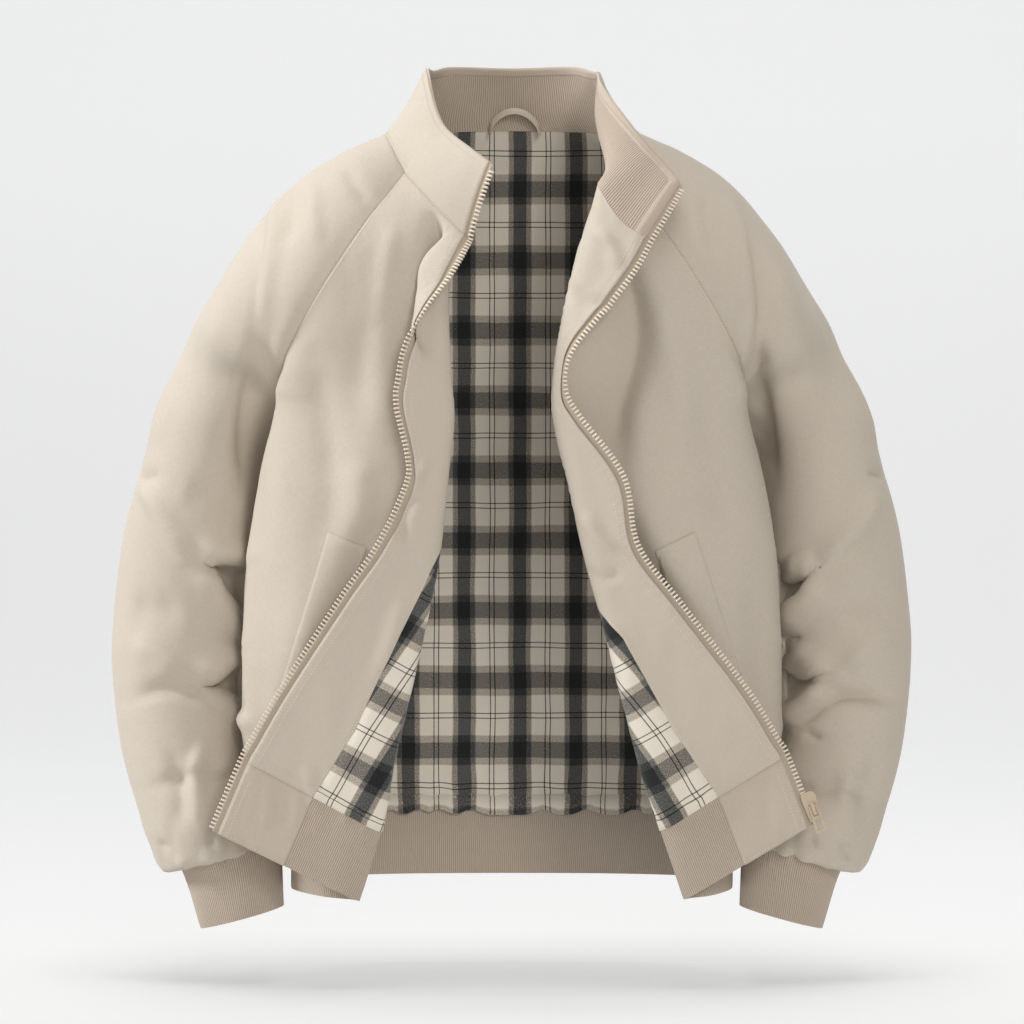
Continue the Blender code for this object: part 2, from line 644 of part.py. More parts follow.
# Slider: stations down its length w, then how far it reaches over the tape side and the open side.
SLIDER = (
    (-13.0, 1.6, 6.6), (-11.4, 3.0, 9.2), (-8.0, 3.4, 10.2), (0.0, 3.2, 9.2),
    (8.0, 3.0, 8.2), (12.0, 2.6, 7.4), (13.2, 1.4, 6.4),
)
SLOT_HALF, PLATE_HALF, POST_FROM = 1.7, 3.2, 3.2
BRIDGE_ACROSS = (2.4, 5.6)
BRIDGE = ((-3.0, 3.0), (-3.0, 6.6), (8.0, 6.6), (8.0, 3.0), (3.4, 3.0), (3.4, 5.5), (-1.4, 5.5), (-1.4, 3.0))
PULL_AXIS = (4.0, 0.3, 4.3)  # across, down, out from the slider's middle
PULL_ROWS = ((-0.8, 3.7), (0.8, 3.8), (9.2, 4.3), (12.2, 4.6), (21.5, 5.5), (24.2, 5.2))
PULL_HOLE, PULL_THICK = 0.56, 1.4
METAL_ROUGH = 0.45
SLIDER_FROM_END = 15.5  # its middle, up from the foot of the teeth


def zip_parts(trim):
    """The slider near the foot of the left edge, and its pull tab hanging down its own length."""
    start, end = trim[1, 2:].mean(axis=0), trim[0, 2:].mean(axis=0)
    down = (end - start) / np.linalg.norm(end - start)
    across = trim[0, 3] - trim[0, 2]
    across -= down * across.dot(down)
    across /= np.linalg.norm(across)
    out = np.cross(across, down)
    out *= -np.sign(out[1])
    middle = end - down * SLIDER_FROM_END

    def place(u, w, n):
        return middle + across * u + down * w + out * n

    ring = []
    for w, tape_side, open_side in SLIDER:
        post = min(POST_FROM, open_side - 1.5)
        for u, n in (
            (-tape_side, SLOT_HALF), (-tape_side, PLATE_HALF), (open_side, PLATE_HALF),
            (open_side, -PLATE_HALF), (-tape_side, -PLATE_HALF), (-tape_side, -SLOT_HALF),
            (post, -SLOT_HALF), (post, SLOT_HALF),
        ):
            ring.append(place(u, w, n))
    faces = [tuple(range(8)), tuple(range(8 * len(SLIDER) - 1, 8 * len(SLIDER) - 9, -1))]
    for k in range(len(SLIDER) - 1):
        for j in range(8):
            a, b = 8 * k + j, 8 * k + (j + 1) % 8
            faces.append((a, a + 8, b + 8, b))
    slider = make("zip_slider", ring, faces, METAL_COLOUR, METAL_ROUGH)
    arch = [place(u, w, n) for u in BRIDGE_ACROSS for w, n in BRIDGE]
    count = len(BRIDGE)
    faces = [tuple(range(count)), tuple(range(2 * count - 1, count - 1, -1))]
    for j in range(count):
        k = (j + 1) % count
        faces.append((j, j + count, k + count, k))
    bridge = make("bridge_joined", arch, faces, METAL_COLOUR)
    for body in (slider, bridge):
        orient(body)
    join = slider.modifiers.new("bridge", "BOOLEAN")
    join.operation, join.solver, join.object = "UNION", "EXACT", bridge
    bridge.hide_render = True
    bridge.display_type = "WIRE"

    origin = place(*PULL_AXIS)
    points, cells = [], []
    for w, half in PULL_ROWS:
        for u in (-half, -half * PULL_HOLE, half * PULL_HOLE, half):
            for n in (-PULL_THICK / 2, PULL_THICK / 2):
                points.append(across * u + down * w + out * n)
    solid = {(r, c) for r in range(len(PULL_ROWS) - 1) for c in range(3)} - {(1, 1), (3, 1)}

    def at(r, c, n):
        return (r * 4 + c) * 2 + n

    for r, c in solid:
        cells.append((at(r, c, 1), at(r, c + 1, 1), at(r + 1, c + 1, 1), at(r + 1, c, 1)))
        cells.append((at(r, c, 0), at(r + 1, c, 0), at(r + 1, c + 1, 0), at(r, c + 1, 0)))
        for beside, ends in (
            ((r - 1, c), ((r, c), (r, c + 1))), ((r + 1, c), ((r + 1, c + 1), (r + 1, c))),
            ((r, c - 1), ((r + 1, c), (r, c))), ((r, c + 1), ((r, c + 1), (r + 1, c + 1))),
        ):
            if beside not in solid:
                (r0, c0), (r1, c1) = ends
                cells.append((at(r0, c0, 0), at(r1, c1, 0), at(r1, c1, 1), at(r0, c0, 1)))
    pull = make("zip_pull", points, cells, METAL_COLOUR, METAL_ROUGH)
    orient(pull)
    pull.location = tuple(origin / 1000)


def orient(body):
    """Turns every face outward."""
    shape = bmesh.new()
    shape.from_mesh(body.data)
    bmesh.ops.recalc_face_normals(shape, faces=shape.faces)
    shape.to_mesh(body.data)
    shape.free()


# ---------------------------------------------------------------- build
SHELL_COLOUR = (0.62, 0.54, 0.45, 1)
RIB_COLOUR = (0.45, 0.37, 0.30, 1)
LINING_COLOUR = (0.30, 0.27, 0.23, 1)
ZIP_COLOUR = (0.56, 0.48, 0.39, 1)
METAL_COLOUR = (0.42, 0.37, 0.30, 1)
SIDES = (("right", -1), ("left", 1))


def build():
    for old in list(bpy.data.objects):
        bpy.data.objects.remove(old, do_unlink=True)
    rows = np.array([0, 0.5, 1, 2, 3, 3.5, 4, 4.5, 5, 6, 7, 8, 9, 10, 10.5, 11, 12, 13, 13.5, 14], float)
    first = 2  # the row of the hem seam
    surface = Surface()
    fronts, trims, sleeves = {}, {}, {}
    for word, side in SIDES:
        fronts[word], trims[word] = front_patch(side, rows, BODY_COLUMNS, FACING_COLUMNS)
        surface.add(f"front_{word}", fronts[word], side > 0)
    back = back_patch(rows, BACK_COLUMNS)
    surface.add("back", back, True)
    sleeve_rows = np.array([0, 0.5, 1, 2, 3, 3.5, 4, 5, 6, 7, 8, 9, 10, 11, 12, 13, 14, 15, 16, 17, 18], float)
    for word, side in SIDES:
        sleeves[word] = sleeve_patch(side, np.concatenate([sleeve_rows, [18.5, 19]]), SLEEVE_COLUMNS)
        surface.add(f"sleeve_{word}", sleeves[word], side > 0)
    seam = np.vstack([
        fronts["right"][-1][::-1],
        sleeves["right"][0][1:],
        back[-1][1:],
        sleeves["left"][0][::-1][1:],
        fronts["left"][-1][1:],
    ])
    collar = collar_patch(seam, COLLAR_HEIGHTS)
    cloth_collar = collar[:, 4:-4]
    surface.add("collar", cloth_collar, True)
    surface.weld()
    p, n = surface.points, surface.normals

    def piece(name, faces, layer, colour, inset=SEAM_GAP / 2):
        slab(name, p, n, faces, layer, colour, inset)

    inner = BODY_COLUMNS
    panel = slice(first, None)
    for word in ("right", "left"):
        faces = surface.triangles(f"front_{word}", panel)
        piece(f"front_panel_{word}", faces, SHELL, SHELL_COLOUR)
        piece(
            f"lining_front_{word}",
            surface.triangles(f"front_{word}", panel, slice(None, inner + 1)),
            LINING,
            LINING_COLOUR,
            LINING_INSET,
        )
        piece(
            f"facing_{word}",
            surface.triangles(f"front_{word}", panel, slice(inner, None)),
            LINING,
            SHELL_COLOUR,
            LINING_INSET,
        )
        piece(
            f"hem_tab_{word}",
            surface.triangles(f"front_{word}", slice(None, first + 1), slice(inner, None)),
            RIB_BAND,
            SHELL_COLOUR,
        )
        cuff = len(sleeve_rows) - 1
        piece(f"sleeve_{word}", surface.triangles(f"sleeve_{word}", slice(None, cuff + 1)), SHELL, SHELL_COLOUR)
        cuff_faces = surface.triangles(f"sleeve_{word}", slice(cuff, None))
        piece(f"cuff_{word}", cuff_faces, RIB_BAND, RIB_COLOUR, CUFF_INSET)
        corners = WELT_RIGHT if word == "right" else WELT_LEFT
        front_only = faces[n[faces].mean(axis=1)[:, 1] < -0.15]
        front_only = front_only[p[front_only].mean(axis=1)[:, 1] > -131]
        cut = clip_to(corners, p, n, front_only)
        slab(f"pocket_welt_{word}", *cut, WELT, SHELL_COLOUR, 0)
    piece("back_panel", surface.triangles("back", panel), SHELL, SHELL_COLOUR)
    piece("lining_back", surface.triangles("back", panel), LINING, LINING_COLOUR, LINING_INSET)
    band = [
        surface.triangles(f"front_{word}", slice(None, first + 1), slice(None, inner + 1))
        for word in ("right", "left")
    ]
    band.append(surface.triangles("back", slice(None, first + 1)))
    piece("hem_rib", np.vstack(band), RIB_BAND, RIB_COLOUR)

    # Collar: every second column, except at both ends.
    count = cloth_collar.shape[1]
    chosen = [0, 1] + list(range(2, count - 2, 2)) + [count - 2, count - 1]
    grid, flip = surface.grids["collar"]
    outer_faces = grid_triangles(grid[:, chosen], flip)
    piece("collar_outer", outer_faces, SHELL, SHELL_COLOUR, COLLAR_INSET)
    gaps = knots_of(p[grid[0, chosen]], 1.0)
    ends = [k for k, g in enumerate(gaps) if COLLAR_EDGE * 0.6 < g < gaps[-1] - COLLAR_EDGE * 0.6]
    first_in, last_in = ends[0], ends[-1]
    inside = grid[:4][:, chosen][:, first_in:last_in + 1]
    piece("collar_inner", grid_triangles(inside, flip), COLLAR_RIB, RIB_COLOUR, COLLAR_INSET)
    whole = grid_triangles(grid[:, chosen], flip)
    taken = {tuple(sorted(f)) for f in grid_triangles(inside, flip).tolist()}
    edge_strip = np.array([f for f in whole.tolist() if tuple(sorted(f)) not in taken])
    piece("collar_edge_strip", edge_strip, COLLAR_RIB, SHELL_COLOUR, 0.15)

    # Zip tape and teeth, from the hem edge to the top of the collar.
    for word, side in SIDES:
        ends = collar[1:, :4][:, ::-1] if side < 0 else collar[1:, -4:]
        lines = np.vstack([trims[word], ends])
        edge_normals = strip_normals(lines[:, [0, 3]]) * (1 if side > 0 else -1)
        for part, columns, layer in (("tape", (0, 1), TAPE), ("teeth", (2, 3), TEETH)):
            strip = lines[:, list(columns)]
            faces = grid_triangles(np.arange(strip.shape[0] * 2).reshape(-1, 2), side > 0)
            slab(
                f"zip_{part}_{word}", strip.reshape(-1, 3), edge_normals.reshape(-1, 3), faces, layer, ZIP_COLOUR, 0
            )
    ribbon("hanger_loop", LOOP_PATH, LOOP_WIDTH, LOOP_THICK, (0.0, 0.35, 1.0), SHELL_COLOUR)
    zip_parts(trims["left"])


build()
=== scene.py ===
"""Looks of the harrington jacket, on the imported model's frame.

Lengths are in mm until a mesh is made. The front faces -Y, and +X is the wearer's left.
"""

import math

import bpy
import numpy as np
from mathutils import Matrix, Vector, noise
from mathutils.bvhtree import BVHTree


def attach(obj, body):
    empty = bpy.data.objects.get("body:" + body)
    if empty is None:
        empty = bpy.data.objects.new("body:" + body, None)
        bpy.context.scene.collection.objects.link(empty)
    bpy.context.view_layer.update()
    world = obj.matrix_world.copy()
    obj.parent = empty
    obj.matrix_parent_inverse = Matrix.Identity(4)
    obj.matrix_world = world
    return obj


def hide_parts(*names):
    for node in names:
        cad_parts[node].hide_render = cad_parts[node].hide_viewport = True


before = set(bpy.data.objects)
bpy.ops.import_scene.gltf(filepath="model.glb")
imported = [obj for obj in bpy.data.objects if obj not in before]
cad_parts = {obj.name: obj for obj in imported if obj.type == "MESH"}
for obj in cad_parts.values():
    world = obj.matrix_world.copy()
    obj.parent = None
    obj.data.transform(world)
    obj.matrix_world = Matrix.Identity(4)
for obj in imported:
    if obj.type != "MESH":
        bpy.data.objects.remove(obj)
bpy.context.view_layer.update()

# ---------------------------------------------------------------- sizes, as in the CAD model
SEAM_GAP = 0.7           # between two pieces sewn together, where the seam's line shows
SHELL = (0.9, 1.9)       # outer cloth, distances out from the middle surface
LINING = (-2.3, -1.3)    # lining and facings
COLLAR_RIB = (-2.6, -1.0)
EDGE_STRIP = (-2.4, 0.9)  # fills the collar's edge up to the outer cloth
RIB_BAND = (-1.5, 1.5)   # hem rib, tabs and cuffs
TAPE = (-0.45, 0.45)
WELT = (2.1, 3.2)        # pocket welt, lying on the front panel
CLOTH_END = 7.0          # cloth stops this far from the zip's centre line
TRIM_MARKS = (9.0, 1.4, 2.5, -2.5)  # tape from and to, then both ends of a tooth
COLLAR_EDGE = 7.5        # width of the plain strip round the inside of the collar
BODY_COLUMNS, FACING_COLUMNS, BACK_COLUMNS, SLEEVE_COLUMNS = 44, 24, 72, 104
COLLAR_ROWS = 26

# Rows of the body, hem to neck. side and corner are (x, y) on the wearer's left; belly and back are y.
BODY_ROWS = (
    # name        z     side x,y    corner x,y   belly  back_y back_z
    ("hem_edge", -692, 200, 10, 196, -62, -104, 116, -694),
    ("hem_seam", -631, 203, 10, 198, -64, -107, 118, -633),
    ("blouse", -612, 222, 12, 228, -66, -116, 128, -618),
    ("hip", -552, 214, 14, 241, -64, -121, 127, -556),
    ("low_waist", -452, 205, 15, 240, -66, -125, 124, -454),
    ("waist", -388, 202, 15, 236, -68, -126, 123, -389),
    ("chest_low", -325, 192, 15, 226, -70, -126, 125, -325),
    ("R0", -262, 194, 12, 208, -84, -124, 126, -268),
)
# Front and back raglan seams, underarm to neck, on the wearer's left (x, y, z); back_mid is the back's middle (y, z).
RAGLAN_ROWS = (
    # name  front x,y,z       corner x,y   belly  back x,y,z        back_mid
    ("R1", 204, -46, -240, 206, -94, -123, 203, 48, -237, 126, -245),
    ("R2", 203, -92, -215, 193, -108, -123, 202, 92, -208, 125, -212),
    ("R3", 192, -110, -191, 172, -119, -124, 190, 108, -172, 123, -174),
    ("R4", 176, -120, -163, 152, -124, -125, 172, 115, -130, 119, -130),
    ("R5", 153, -122, -127, 132, -124, -124, 148, 112, -85, 112, -84),
    ("R6", 127, -108, -88, 112, -114, -119, 118, 95, -40, 102, -38),
)
NECK_BACK = (88, 58, 4, 84, 8)  # back seam point x, y, z, then the middle's y, z

# The rolled front edges. F is the fold, K the second fold (kf is where it lies between F and the zip where it is flat).
RIGHT_EDGE = (
    # name        F x,   y,    z      K x,  y,   z     zip x,  y,   z     facing width
    ("hem_edge", -137, -113, -697, None, None, None, -267, -125, -633, 72),
    ("hem_seam", -118, -117, -635, None, None, None, -240, -128, -570, 72),
    ("blouse", -114.5, -123, -618, None, None, None, -231.5, -131, -555, 73),
    ("hip", -103.5, -128, -561.5, None, None, None, -204, -138, -508, 75),
    ("low_waist", -82, -131, -469, None, None, None, -151, -145, -427, 61),
    ("waist", -69, -132, -408, None, None, None, -116, -147, -376, 52),
    ("chest_low", -60.6, -133, -346, None, None, None, -91.5, -148, -318, 51),
    ("R0", -54, -132, -283, None, None, None, -102, -148, -257, 58),
    ("R1", -53, -131, -261, None, None, None, -100, -149, -233, 66),
    ("R2", -55, -130, -233, None, None, None, -95, -150, -208, 67),
    ("R3", -56, -128, -211, -86.5, -142, -195, -85, -151, -187, 66),
    ("R4", -57.5, -126, -185, -85, -139, -175, -72, -149, -166, 66),
    ("R5", -58, -121, -161, -83, -133, -157, -58, -143, -147, 70),
    ("R6", -58.5, -111, -130, -78, -123, -127, -47.5, -133, -129.5, 74),
)
LEFT_EDGE = (
    ("hem_edge", 154, -114, -695.5, None, None, None, 268, -125, -627, 72),
    ("hem_seam", 133.5, -118, -634, None, None, None, 244, -128, -566, 72),
    ("blouse", 128, -123, -617, None, None, None, 235, -131, -551.5, 73),
    ("hip", 110.6, -128, -564, None, None, None, 206.6, -138, -506, 75),
    ("low_waist", 87.6, -131, -470, None, None, None, 148, -145, -430, 60),
    ("waist", 71, -132, -410, None, None, None, 111, -147, -380, 62),
    ("chest_low", 56.6, -134, -348, None, None, None, 98.6, -148, -320, 67),
    ("R0", 42.5, -134, -278.5, None, None, None, 61.6, -148, -269, 67),
    ("R1", 39, -134, -255, None, None, None, 49, -147, -248, 67),
    ("R2", 40, -134, -228, None, None, None, 48.4, -147, -224, 67),
    ("R3", 42.5, -133, -203, None, None, None, 57, -147, -203, 67),
    ("R4", 48, -131, -175, None, None, None, 76.6, -147, -178.6, 68),
    ("R5", 55.7, -128, -141, None, None, None, 96, -146, -155.6, 69),
    ("R6", 66.4, -124, -103, None, None, None, 111, -143, -134.5, 78),
)
# Neck edge of each front, raglan seam to zip (x, y, z).
RIGHT_NECK = (
    (-97, -70, -46), (-86, -85, -58), (-75, -97, -71), (-67, -103, -80), (-62, -106, -85.5),
    (-57, -108.5, -90.5), (-52, -110.5, -95), (-49, -111.5, -98), (-46, -112.5, -101), (-37, -115, -109),
)
LEFT_NECK = (
    (99, -78, -46), (93, -92, -50), (86, -105, -54), (80, -113, -57), (78, -118, -60.5),
    (79.5, -123, -66), (88.6, -130, -83), (97, -133, -94), (106, -135, -101), (123, -138, -112),
)
NECK_FACING = (64, 97)

# Collar stations: neck seam (found on the neck edge), then middle and top (x, y, z).
COLLAR = (
    # name       seam x,y,z          middle x,y,z        top x,y,z
    ("R_zip", -37, -115, -109, -28, -119, -76, -16, -115, -43),
    ("R_mid", -64, -105, -83.5, -53, -105, -54, -38, -95, -25),
    ("R_raglan", -97, -70, -46, -82, -70, -22, -62, -60, -1),
    ("R_side", -116, -5, -6, -95, -5, 22, -77, -5, 53),
    ("R_back", -88, 58, 4, -80, 52, 33, -72, 42, 59.5),
    ("R_corner", -62, 72, 6, -58, 68, 35, -60, 60, 64),
    ("back", 0, 84, 8, 0, 80, 36, 0, 72, 64.5),
    ("L_corner", 62, 72, 6, 60, 68, 35, 62, 60, 64),
    ("L_back", 88, 58, 4, 80, 52, 32, 75, 42, 58.5),
    ("L_side", 114, -2, -3, 93, 3, 24, 80, 8, 53),
    ("L_raglan", 99, -78, -46, 81, -54, -10, 90, -42, 24),
    ("L_fold", 78, -118, -60.5, 97, -108, -41, 119, -85, -20),
    ("L_flap", 97, -133, -94, 118, -121, -67, 138, -101, -43),
    ("L_zip", 123, -138, -112, 138, -129, -87, 152, -115, -63),
)

# Sleeve rows above the underarm: outline point (x, y, z), half depth front and back, opening angle of the arc.
SLEEVE_TOP = (
    # name  x    y   z    front back  angle
    ("R7", 116, -4, -5, 67, 64, 75),
    ("R6", 158, -3, -25, 107, 99, 80),
    ("R5", 198, -1, -51, 121, 113, 90),
    ("R4", 231, 0, -88, 120, 115, 100),
    ("R3", 251, 2, -115, 114, 112, 115),
    ("R2", 272, 4, -148, 104, 103, 130),
    ("R1", 290, 6, -178, 92, 90, 155),
    ("R0", 305, 8, -213, 66, 64, 180),
)
# Rows near the underarm leave their seam at an angle, so that sleeve and side stand apart.
POINTED = {"R1": 0.5, "R0": 1.0, "T1": 0.3}
# Sleeve tube: outer and inner outline points (x, z), middle y and half depth.
SLEEVE_TUBE = (
    # name  outer x,z   inner x,z   y    half depth
    ("T1", 326, -262, 224, -292, 12, 68),
    ("T2", 341, -315, 230, -348, 8, 68),
    ("T3", 354, -365, 233, -395, 4, 67),
    ("T4", 361, -415, 241, -438, 0, 64),
    ("T5", 365, -470, 246, -482, -4, 62),
    ("T6", 362, -520, 248, -525, -10, 60),
    ("T7", 354, -572, 247, -560, -18, 58),
    ("T8", 340, -618, 241, -592, -28, 55),
    ("T9", 329, -650, 231, -622, -36, 50),
    ("T10", 316, -676, 217, -649, -41, 44),
    ("cuff_seam", 300, -673, 211, -649, -41, 36),
)
CUFF_BOTTOM = (281, -728, 208, -708, -45, 31)

# Dents and valleys of the sleeves, in the front view: corners (x, z) on the wearer's left, depth, soft edge.
SLEEVE_DENTS_LEFT = (
    ((281, -399), (242, -394), (242, -464), 28, 15),
    ((286, -498), (249, -464), (240, -546), 24, 15),
)
SLEEVE_DENTS_RIGHT = (
    ((280, -394), (237, -397), (243, -476), 28, 15),
    ((281, -508), (243, -476), (234, -548), 24, 15),
)
# Valley running down outside each raglan seam: x, z at its ends, half width, depth.
DRAPE_VALLEY = ((214, -70), (228, -330), 17, 9)

# Pocket welts on the fronts: corners (x, z), top outer, top inner, bottom inner, bottom outer.
WELT_RIGHT = ((-162.6, -369.7), (-128.8, -383), (-170, -521), (-206, -511))
WELT_LEFT = ((161.7, -369), (129, -385), (168, -509), (203, -497))

LOOP_PATH = ((-21, 75, 4), (-18, 73, 14), (-8, 70, 22.5), (3, 69, 25), (14, 70, 21.5), (23, 73, 13), (26, 75, 3))

# ---------------------------------------------------------------- curves
def tangents(points, knots):
    """Slope of a smooth curve through the points at each knot."""
    steps = np.diff(knots)[:, None]
    slopes = np.diff(points, axis=0) / steps
    inner = (slopes[:-1] * steps[1:] + slopes[1:] * steps[:-1]) / (steps[:-1] + steps[1:])
    return np.vstack([slopes[:1], inner, slopes[-1:]])


def curve(points, knots, at):
    """Points of the smooth curve at the knot values `at`; past an end it goes straight on."""
    points, knots, at = (np.asarray(v, float) for v in (points, knots, at))
    slope = tangents(points, knots)
    inside = np.clip(at, knots[0], knots[-1])
    k = np.clip(np.searchsorted(knots, inside, side="right") - 1, 0, len(knots) - 2)
    step = (knots[k + 1] - knots[k])[:, None]
    t = (inside[:, None] - knots[k][:, None]) / step
    value = (
        points[k] * (2 * t**3 - 3 * t**2 + 1)
        + points[k + 1] * (3 * t**2 - 2 * t**3)
        + slope[k] * step * (t**3 - 2 * t**2 + t)
        + slope[k + 1] * step * (t**3 - t**2)
    )
    return value + slope[np.where(at < knots[0], 0, -1)] * (at - inside)[:, None]


def knots_of(points, power=0.5):
    gaps = np.maximum(np.linalg.norm(np.diff(points, axis=0), axis=1), 1e-6) ** power
    return np.concatenate([[0], np.cumsum(gaps)])


def dense(points, count=400):
    points = np.asarray(points, float)
    knots = knots_of(points)
    at = np.linspace(0, knots[-1], count)
    line = curve(points, knots, at)
    return line, knots_of(line, 1.0)


def along(line, lengths, at):
    """Points at the given lengths along a dense line, straight on past its ends."""
    out = np.stack([np.interp(at, lengths, line[:, c]) for c in range(3)], axis=1)
    start = (line[1] - line[0]) / (lengths[1] - lengths[0])
    end = (line[-1] - line[-2]) / (lengths[-1] - lengths[-2])
    at = np.asarray(at, float)
    out += np.minimum(at, 0)[:, None] * start
    return out + np.maximum(at - lengths[-1], 0)[:, None] * end


def spread(start, end, count, peaks, height=6.0, width=10.0):
    """count + 1 lengths from start to end, closer together near each peak."""
    s = np.linspace(start, end, 400)
    weight = 1 + sum(height * np.exp(-(((s - p) / width) ** 2)) for p in peaks)
    total = np.concatenate([[0], np.cumsum((weight[1:] + weight[:-1]) / 2)])
    return np.interp(np.linspace(0, total[-1], count + 1), total, s)


def resample_rows(table, rows, split, ends):
    """A row table at fractional row numbers. The points `ends` turn at the row `split`, as the seams of three patches meet there."""
    table = np.asarray(table, float)

    def sample(part, first):
        flat = curve(part.reshape(len(part), -1), np.arange(len(part)) + first, rows)
        return flat.reshape(len(rows), part.shape[1], 3)

    whole = sample(table, 0)
    seams = table[:, ends]
    low, high = sample(seams[: split + 1], 0), sample(seams[split:], split)
    whole[:, ends] = np.where((rows <= split)[:, None, None], low, high)
    return whole


# ---------------------------------------------------------------- fronts
def fold_points(before, fold, after, radius):
    """Three points round a fold whose cloth comes from `before` and leaves to `after`, in front of it."""
    before, fold, after = (np.asarray(v, float) for v in (before, fold, after))
    back, front = before - fold, after - fold
    back[1] = front[1] = 0
    back, front = back / np.linalg.norm(back), front / np.linalg.norm(front)
    drop = np.array([0, radius, 0])
    return [fold + back * radius + drop, fold, fold + front * radius - drop]


def front_controls(side):
    """Control points of every row of one front, side seam to zip: rows x 10 x 3."""
    edge = RIGHT_EDGE if side < 0 else LEFT_EDGE
    rows = []
    for k, (_, fx, fy, fz, kx, ky, kz, zx, zy, zz, _) in enumerate(edge):
        if k < len(BODY_ROWS):
            _, z, sx, sy, cx, cy, belly, _, _ = BODY_ROWS[k]
            seam, corner = (side * sx, sy, z), (side * cx, cy, z)
        else:
            _, sx, sy, sz, cx, cy, belly = RAGLAN_ROWS[k - len(BODY_ROWS)][:7]
            seam = (side * sx, sy, sz)
            share = (sx - cx) / (sx - abs(fx))
            corner = (side * cx, cy, sz + (fz - sz) * share)
        fold, zip_point = np.array([fx, fy, fz]), np.array([zx, zy, zz])
        middle = (np.array(corner) + fold) / 2
        middle[1] = belly
        second = np.array([kx, ky, kz]) if kx is not None else None
        radius = min(6.5, max(3.0, 0.42 * np.linalg.norm((zip_point if second is None else second) - fold)))
        target = zip_point if second is None else second
        first = fold_points(middle, fold, target, radius)
        if second is None:
            start = first[2]
            later = [start + (zip_point - start) * f for f in (0.42, 0.55, 0.68)]
        else:
            later = fold_points(fold, second, zip_point, min(4.5, 0.4 * np.linalg.norm(zip_point - second)))
        rows.append([seam, corner, middle, *first, *later, zip_point])
    rows.append(RIGHT_NECK if side < 0 else LEFT_NECK)
    return np.array([[list(p) for p in row] for row in rows], float)


def facing_widths(side):
    edge = RIGHT_EDGE if side < 0 else LEFT_EDGE
    return np.array([row[-1] for row in edge] + [NECK_FACING[0 if side < 0 else 1]], float)


# ---------------------------------------------------------------- back
def back_controls():
    rows = []
    seams = [(sx, sy, z, by, bz) for _, z, sx, sy, _, _, _, by, bz in BODY_ROWS]
    seams += [(row[7], row[8], row[9], row[10], row[11]) for row in RAGLAN_ROWS]
    seams.append(NECK_BACK)
    for k, (sx, sy, sz, by, bz) in enumerate(seams):
        box = 0.78 if k < len(BODY_ROWS) else min(1.0, 0.78 + 0.06 * (k - len(BODY_ROWS) + 1))
        row = []
        for turn in np.linspace(-1, 1, 13):
            angle = (1 - abs(turn)) * math.pi / 2
            x = sx * math.cos(angle) ** box * (1 if turn > 0 else -1)
            rise = math.sin(angle) ** box
            row.append((x, sy + (by - sy) * rise, sz + (bz - sz) * rise))
        rows.append(row)
    return np.array(rows)


# ---------------------------------------------------------------- sleeves
def arc_half(top, seam, depth, angle, front, steps, pointed=0.0):
    """Cloth from the outline point to a raglan seam point, bulging in y. A pointed arc opens fast at its seam."""
    s = np.linspace(0, 1, steps)
    phi = s * math.radians(angle)
    most = math.radians(angle)
    share = (1 - np.cos(phi)) / (1 - math.cos(most))
    share = share + pointed * (s - share) * s**2
    sign = -1 if front else 1
    x = top[0] + (seam[0] - top[0]) * share
    z = top[2] + (seam[2] - top[2]) * share
    y = top[1] + sign * depth * np.sin(phi)
    y = y + (seam[1] - top[1] - sign * depth * math.sin(most)) * s**2
    return np.stack([x, y, z], axis=1)


def sleeve_controls(side):
    """Every sleeve row as 2 * half + 1 points, front seam over the outside to the back seam."""
    half = 8
    rows = []
    neck = RIGHT_NECK[0] if side < 0 else LEFT_NECK[0]
    fronts = {"R7": (abs(neck[0]), neck[1], neck[2]), "R0": (BODY_ROWS[-1][2], BODY_ROWS[-1][3], BODY_ROWS[-1][1])}
    backs = {"R7": NECK_BACK[:3], "R0": fronts["R0"]}
    for name, fx, fy, fz, _, _, _, bx, by, bz, _, _ in RAGLAN_ROWS:
        fronts[name], backs[name] = (fx, fy, fz), (bx, by, bz)
    for name, x, y, z, front, back, angle in SLEEVE_TOP:
        sharp = POINTED.get(name, 0.0)
        ahead = arc_half((x, y, z), fronts[name], front, angle, True, half + 1, sharp)
        behind = arc_half((x, y, z), backs[name], back, angle, False, half + 1, sharp)
        rows.append(np.vstack([ahead[::-1], behind[1:]]))
    for name, ox, oz, ix, iz, y, depth in SLEEVE_TUBE + (("cuff_bottom",) + CUFF_BOTTOM,):
        top, seam = (ox, y, oz), (ix, y, iz)
        sharp = POINTED.get(name, 0.0)
        ahead = arc_half(top, seam, depth, 180, True, half + 1, sharp)
        behind = arc_half(top, seam, depth, 180, False, half + 1, sharp)
        rows.append(np.vstack([ahead[::-1], behind[1:]]))
    table = np.array(rows)
    table[:, :, 0] *= side
    return table


def dent(x, z, corners, depth, soft):
    """Depth of a three-cornered dent at (x, z): full inside the triangle, soft outside its sides."""
    a, b, c = (np.array(p, float) for p in corners)
    nearest = np.full(x.shape, 1e9)
    inside = np.ones(x.shape, bool)
    turn = np.sign((b[0] - a[0]) * (c[1] - a[1]) - (b[1] - a[1]) * (c[0] - a[0]))
    for p, q in ((a, b), (b, c), (c, a)):
        edge = (q - p) / np.linalg.norm(q - p)
        across = turn * (edge[0] * (z - p[1]) - edge[1] * (x - p[0]))
        inside &= across > 0
        nearest = np.minimum(nearest, across)
    far = np.clip(nearest / soft, 0, 1)
    return np.where(inside, depth * (1 - (1 - far) ** 2), 0)

UNDERARM = 7  # the body row, and the sleeve row, where side, sleeve and raglan seams meet
HEM_ROW, NECK_ROW, CUFF_ROW = 1, 14, 18  # body rows of the hem and neck seams, sleeve row of the cuff seam


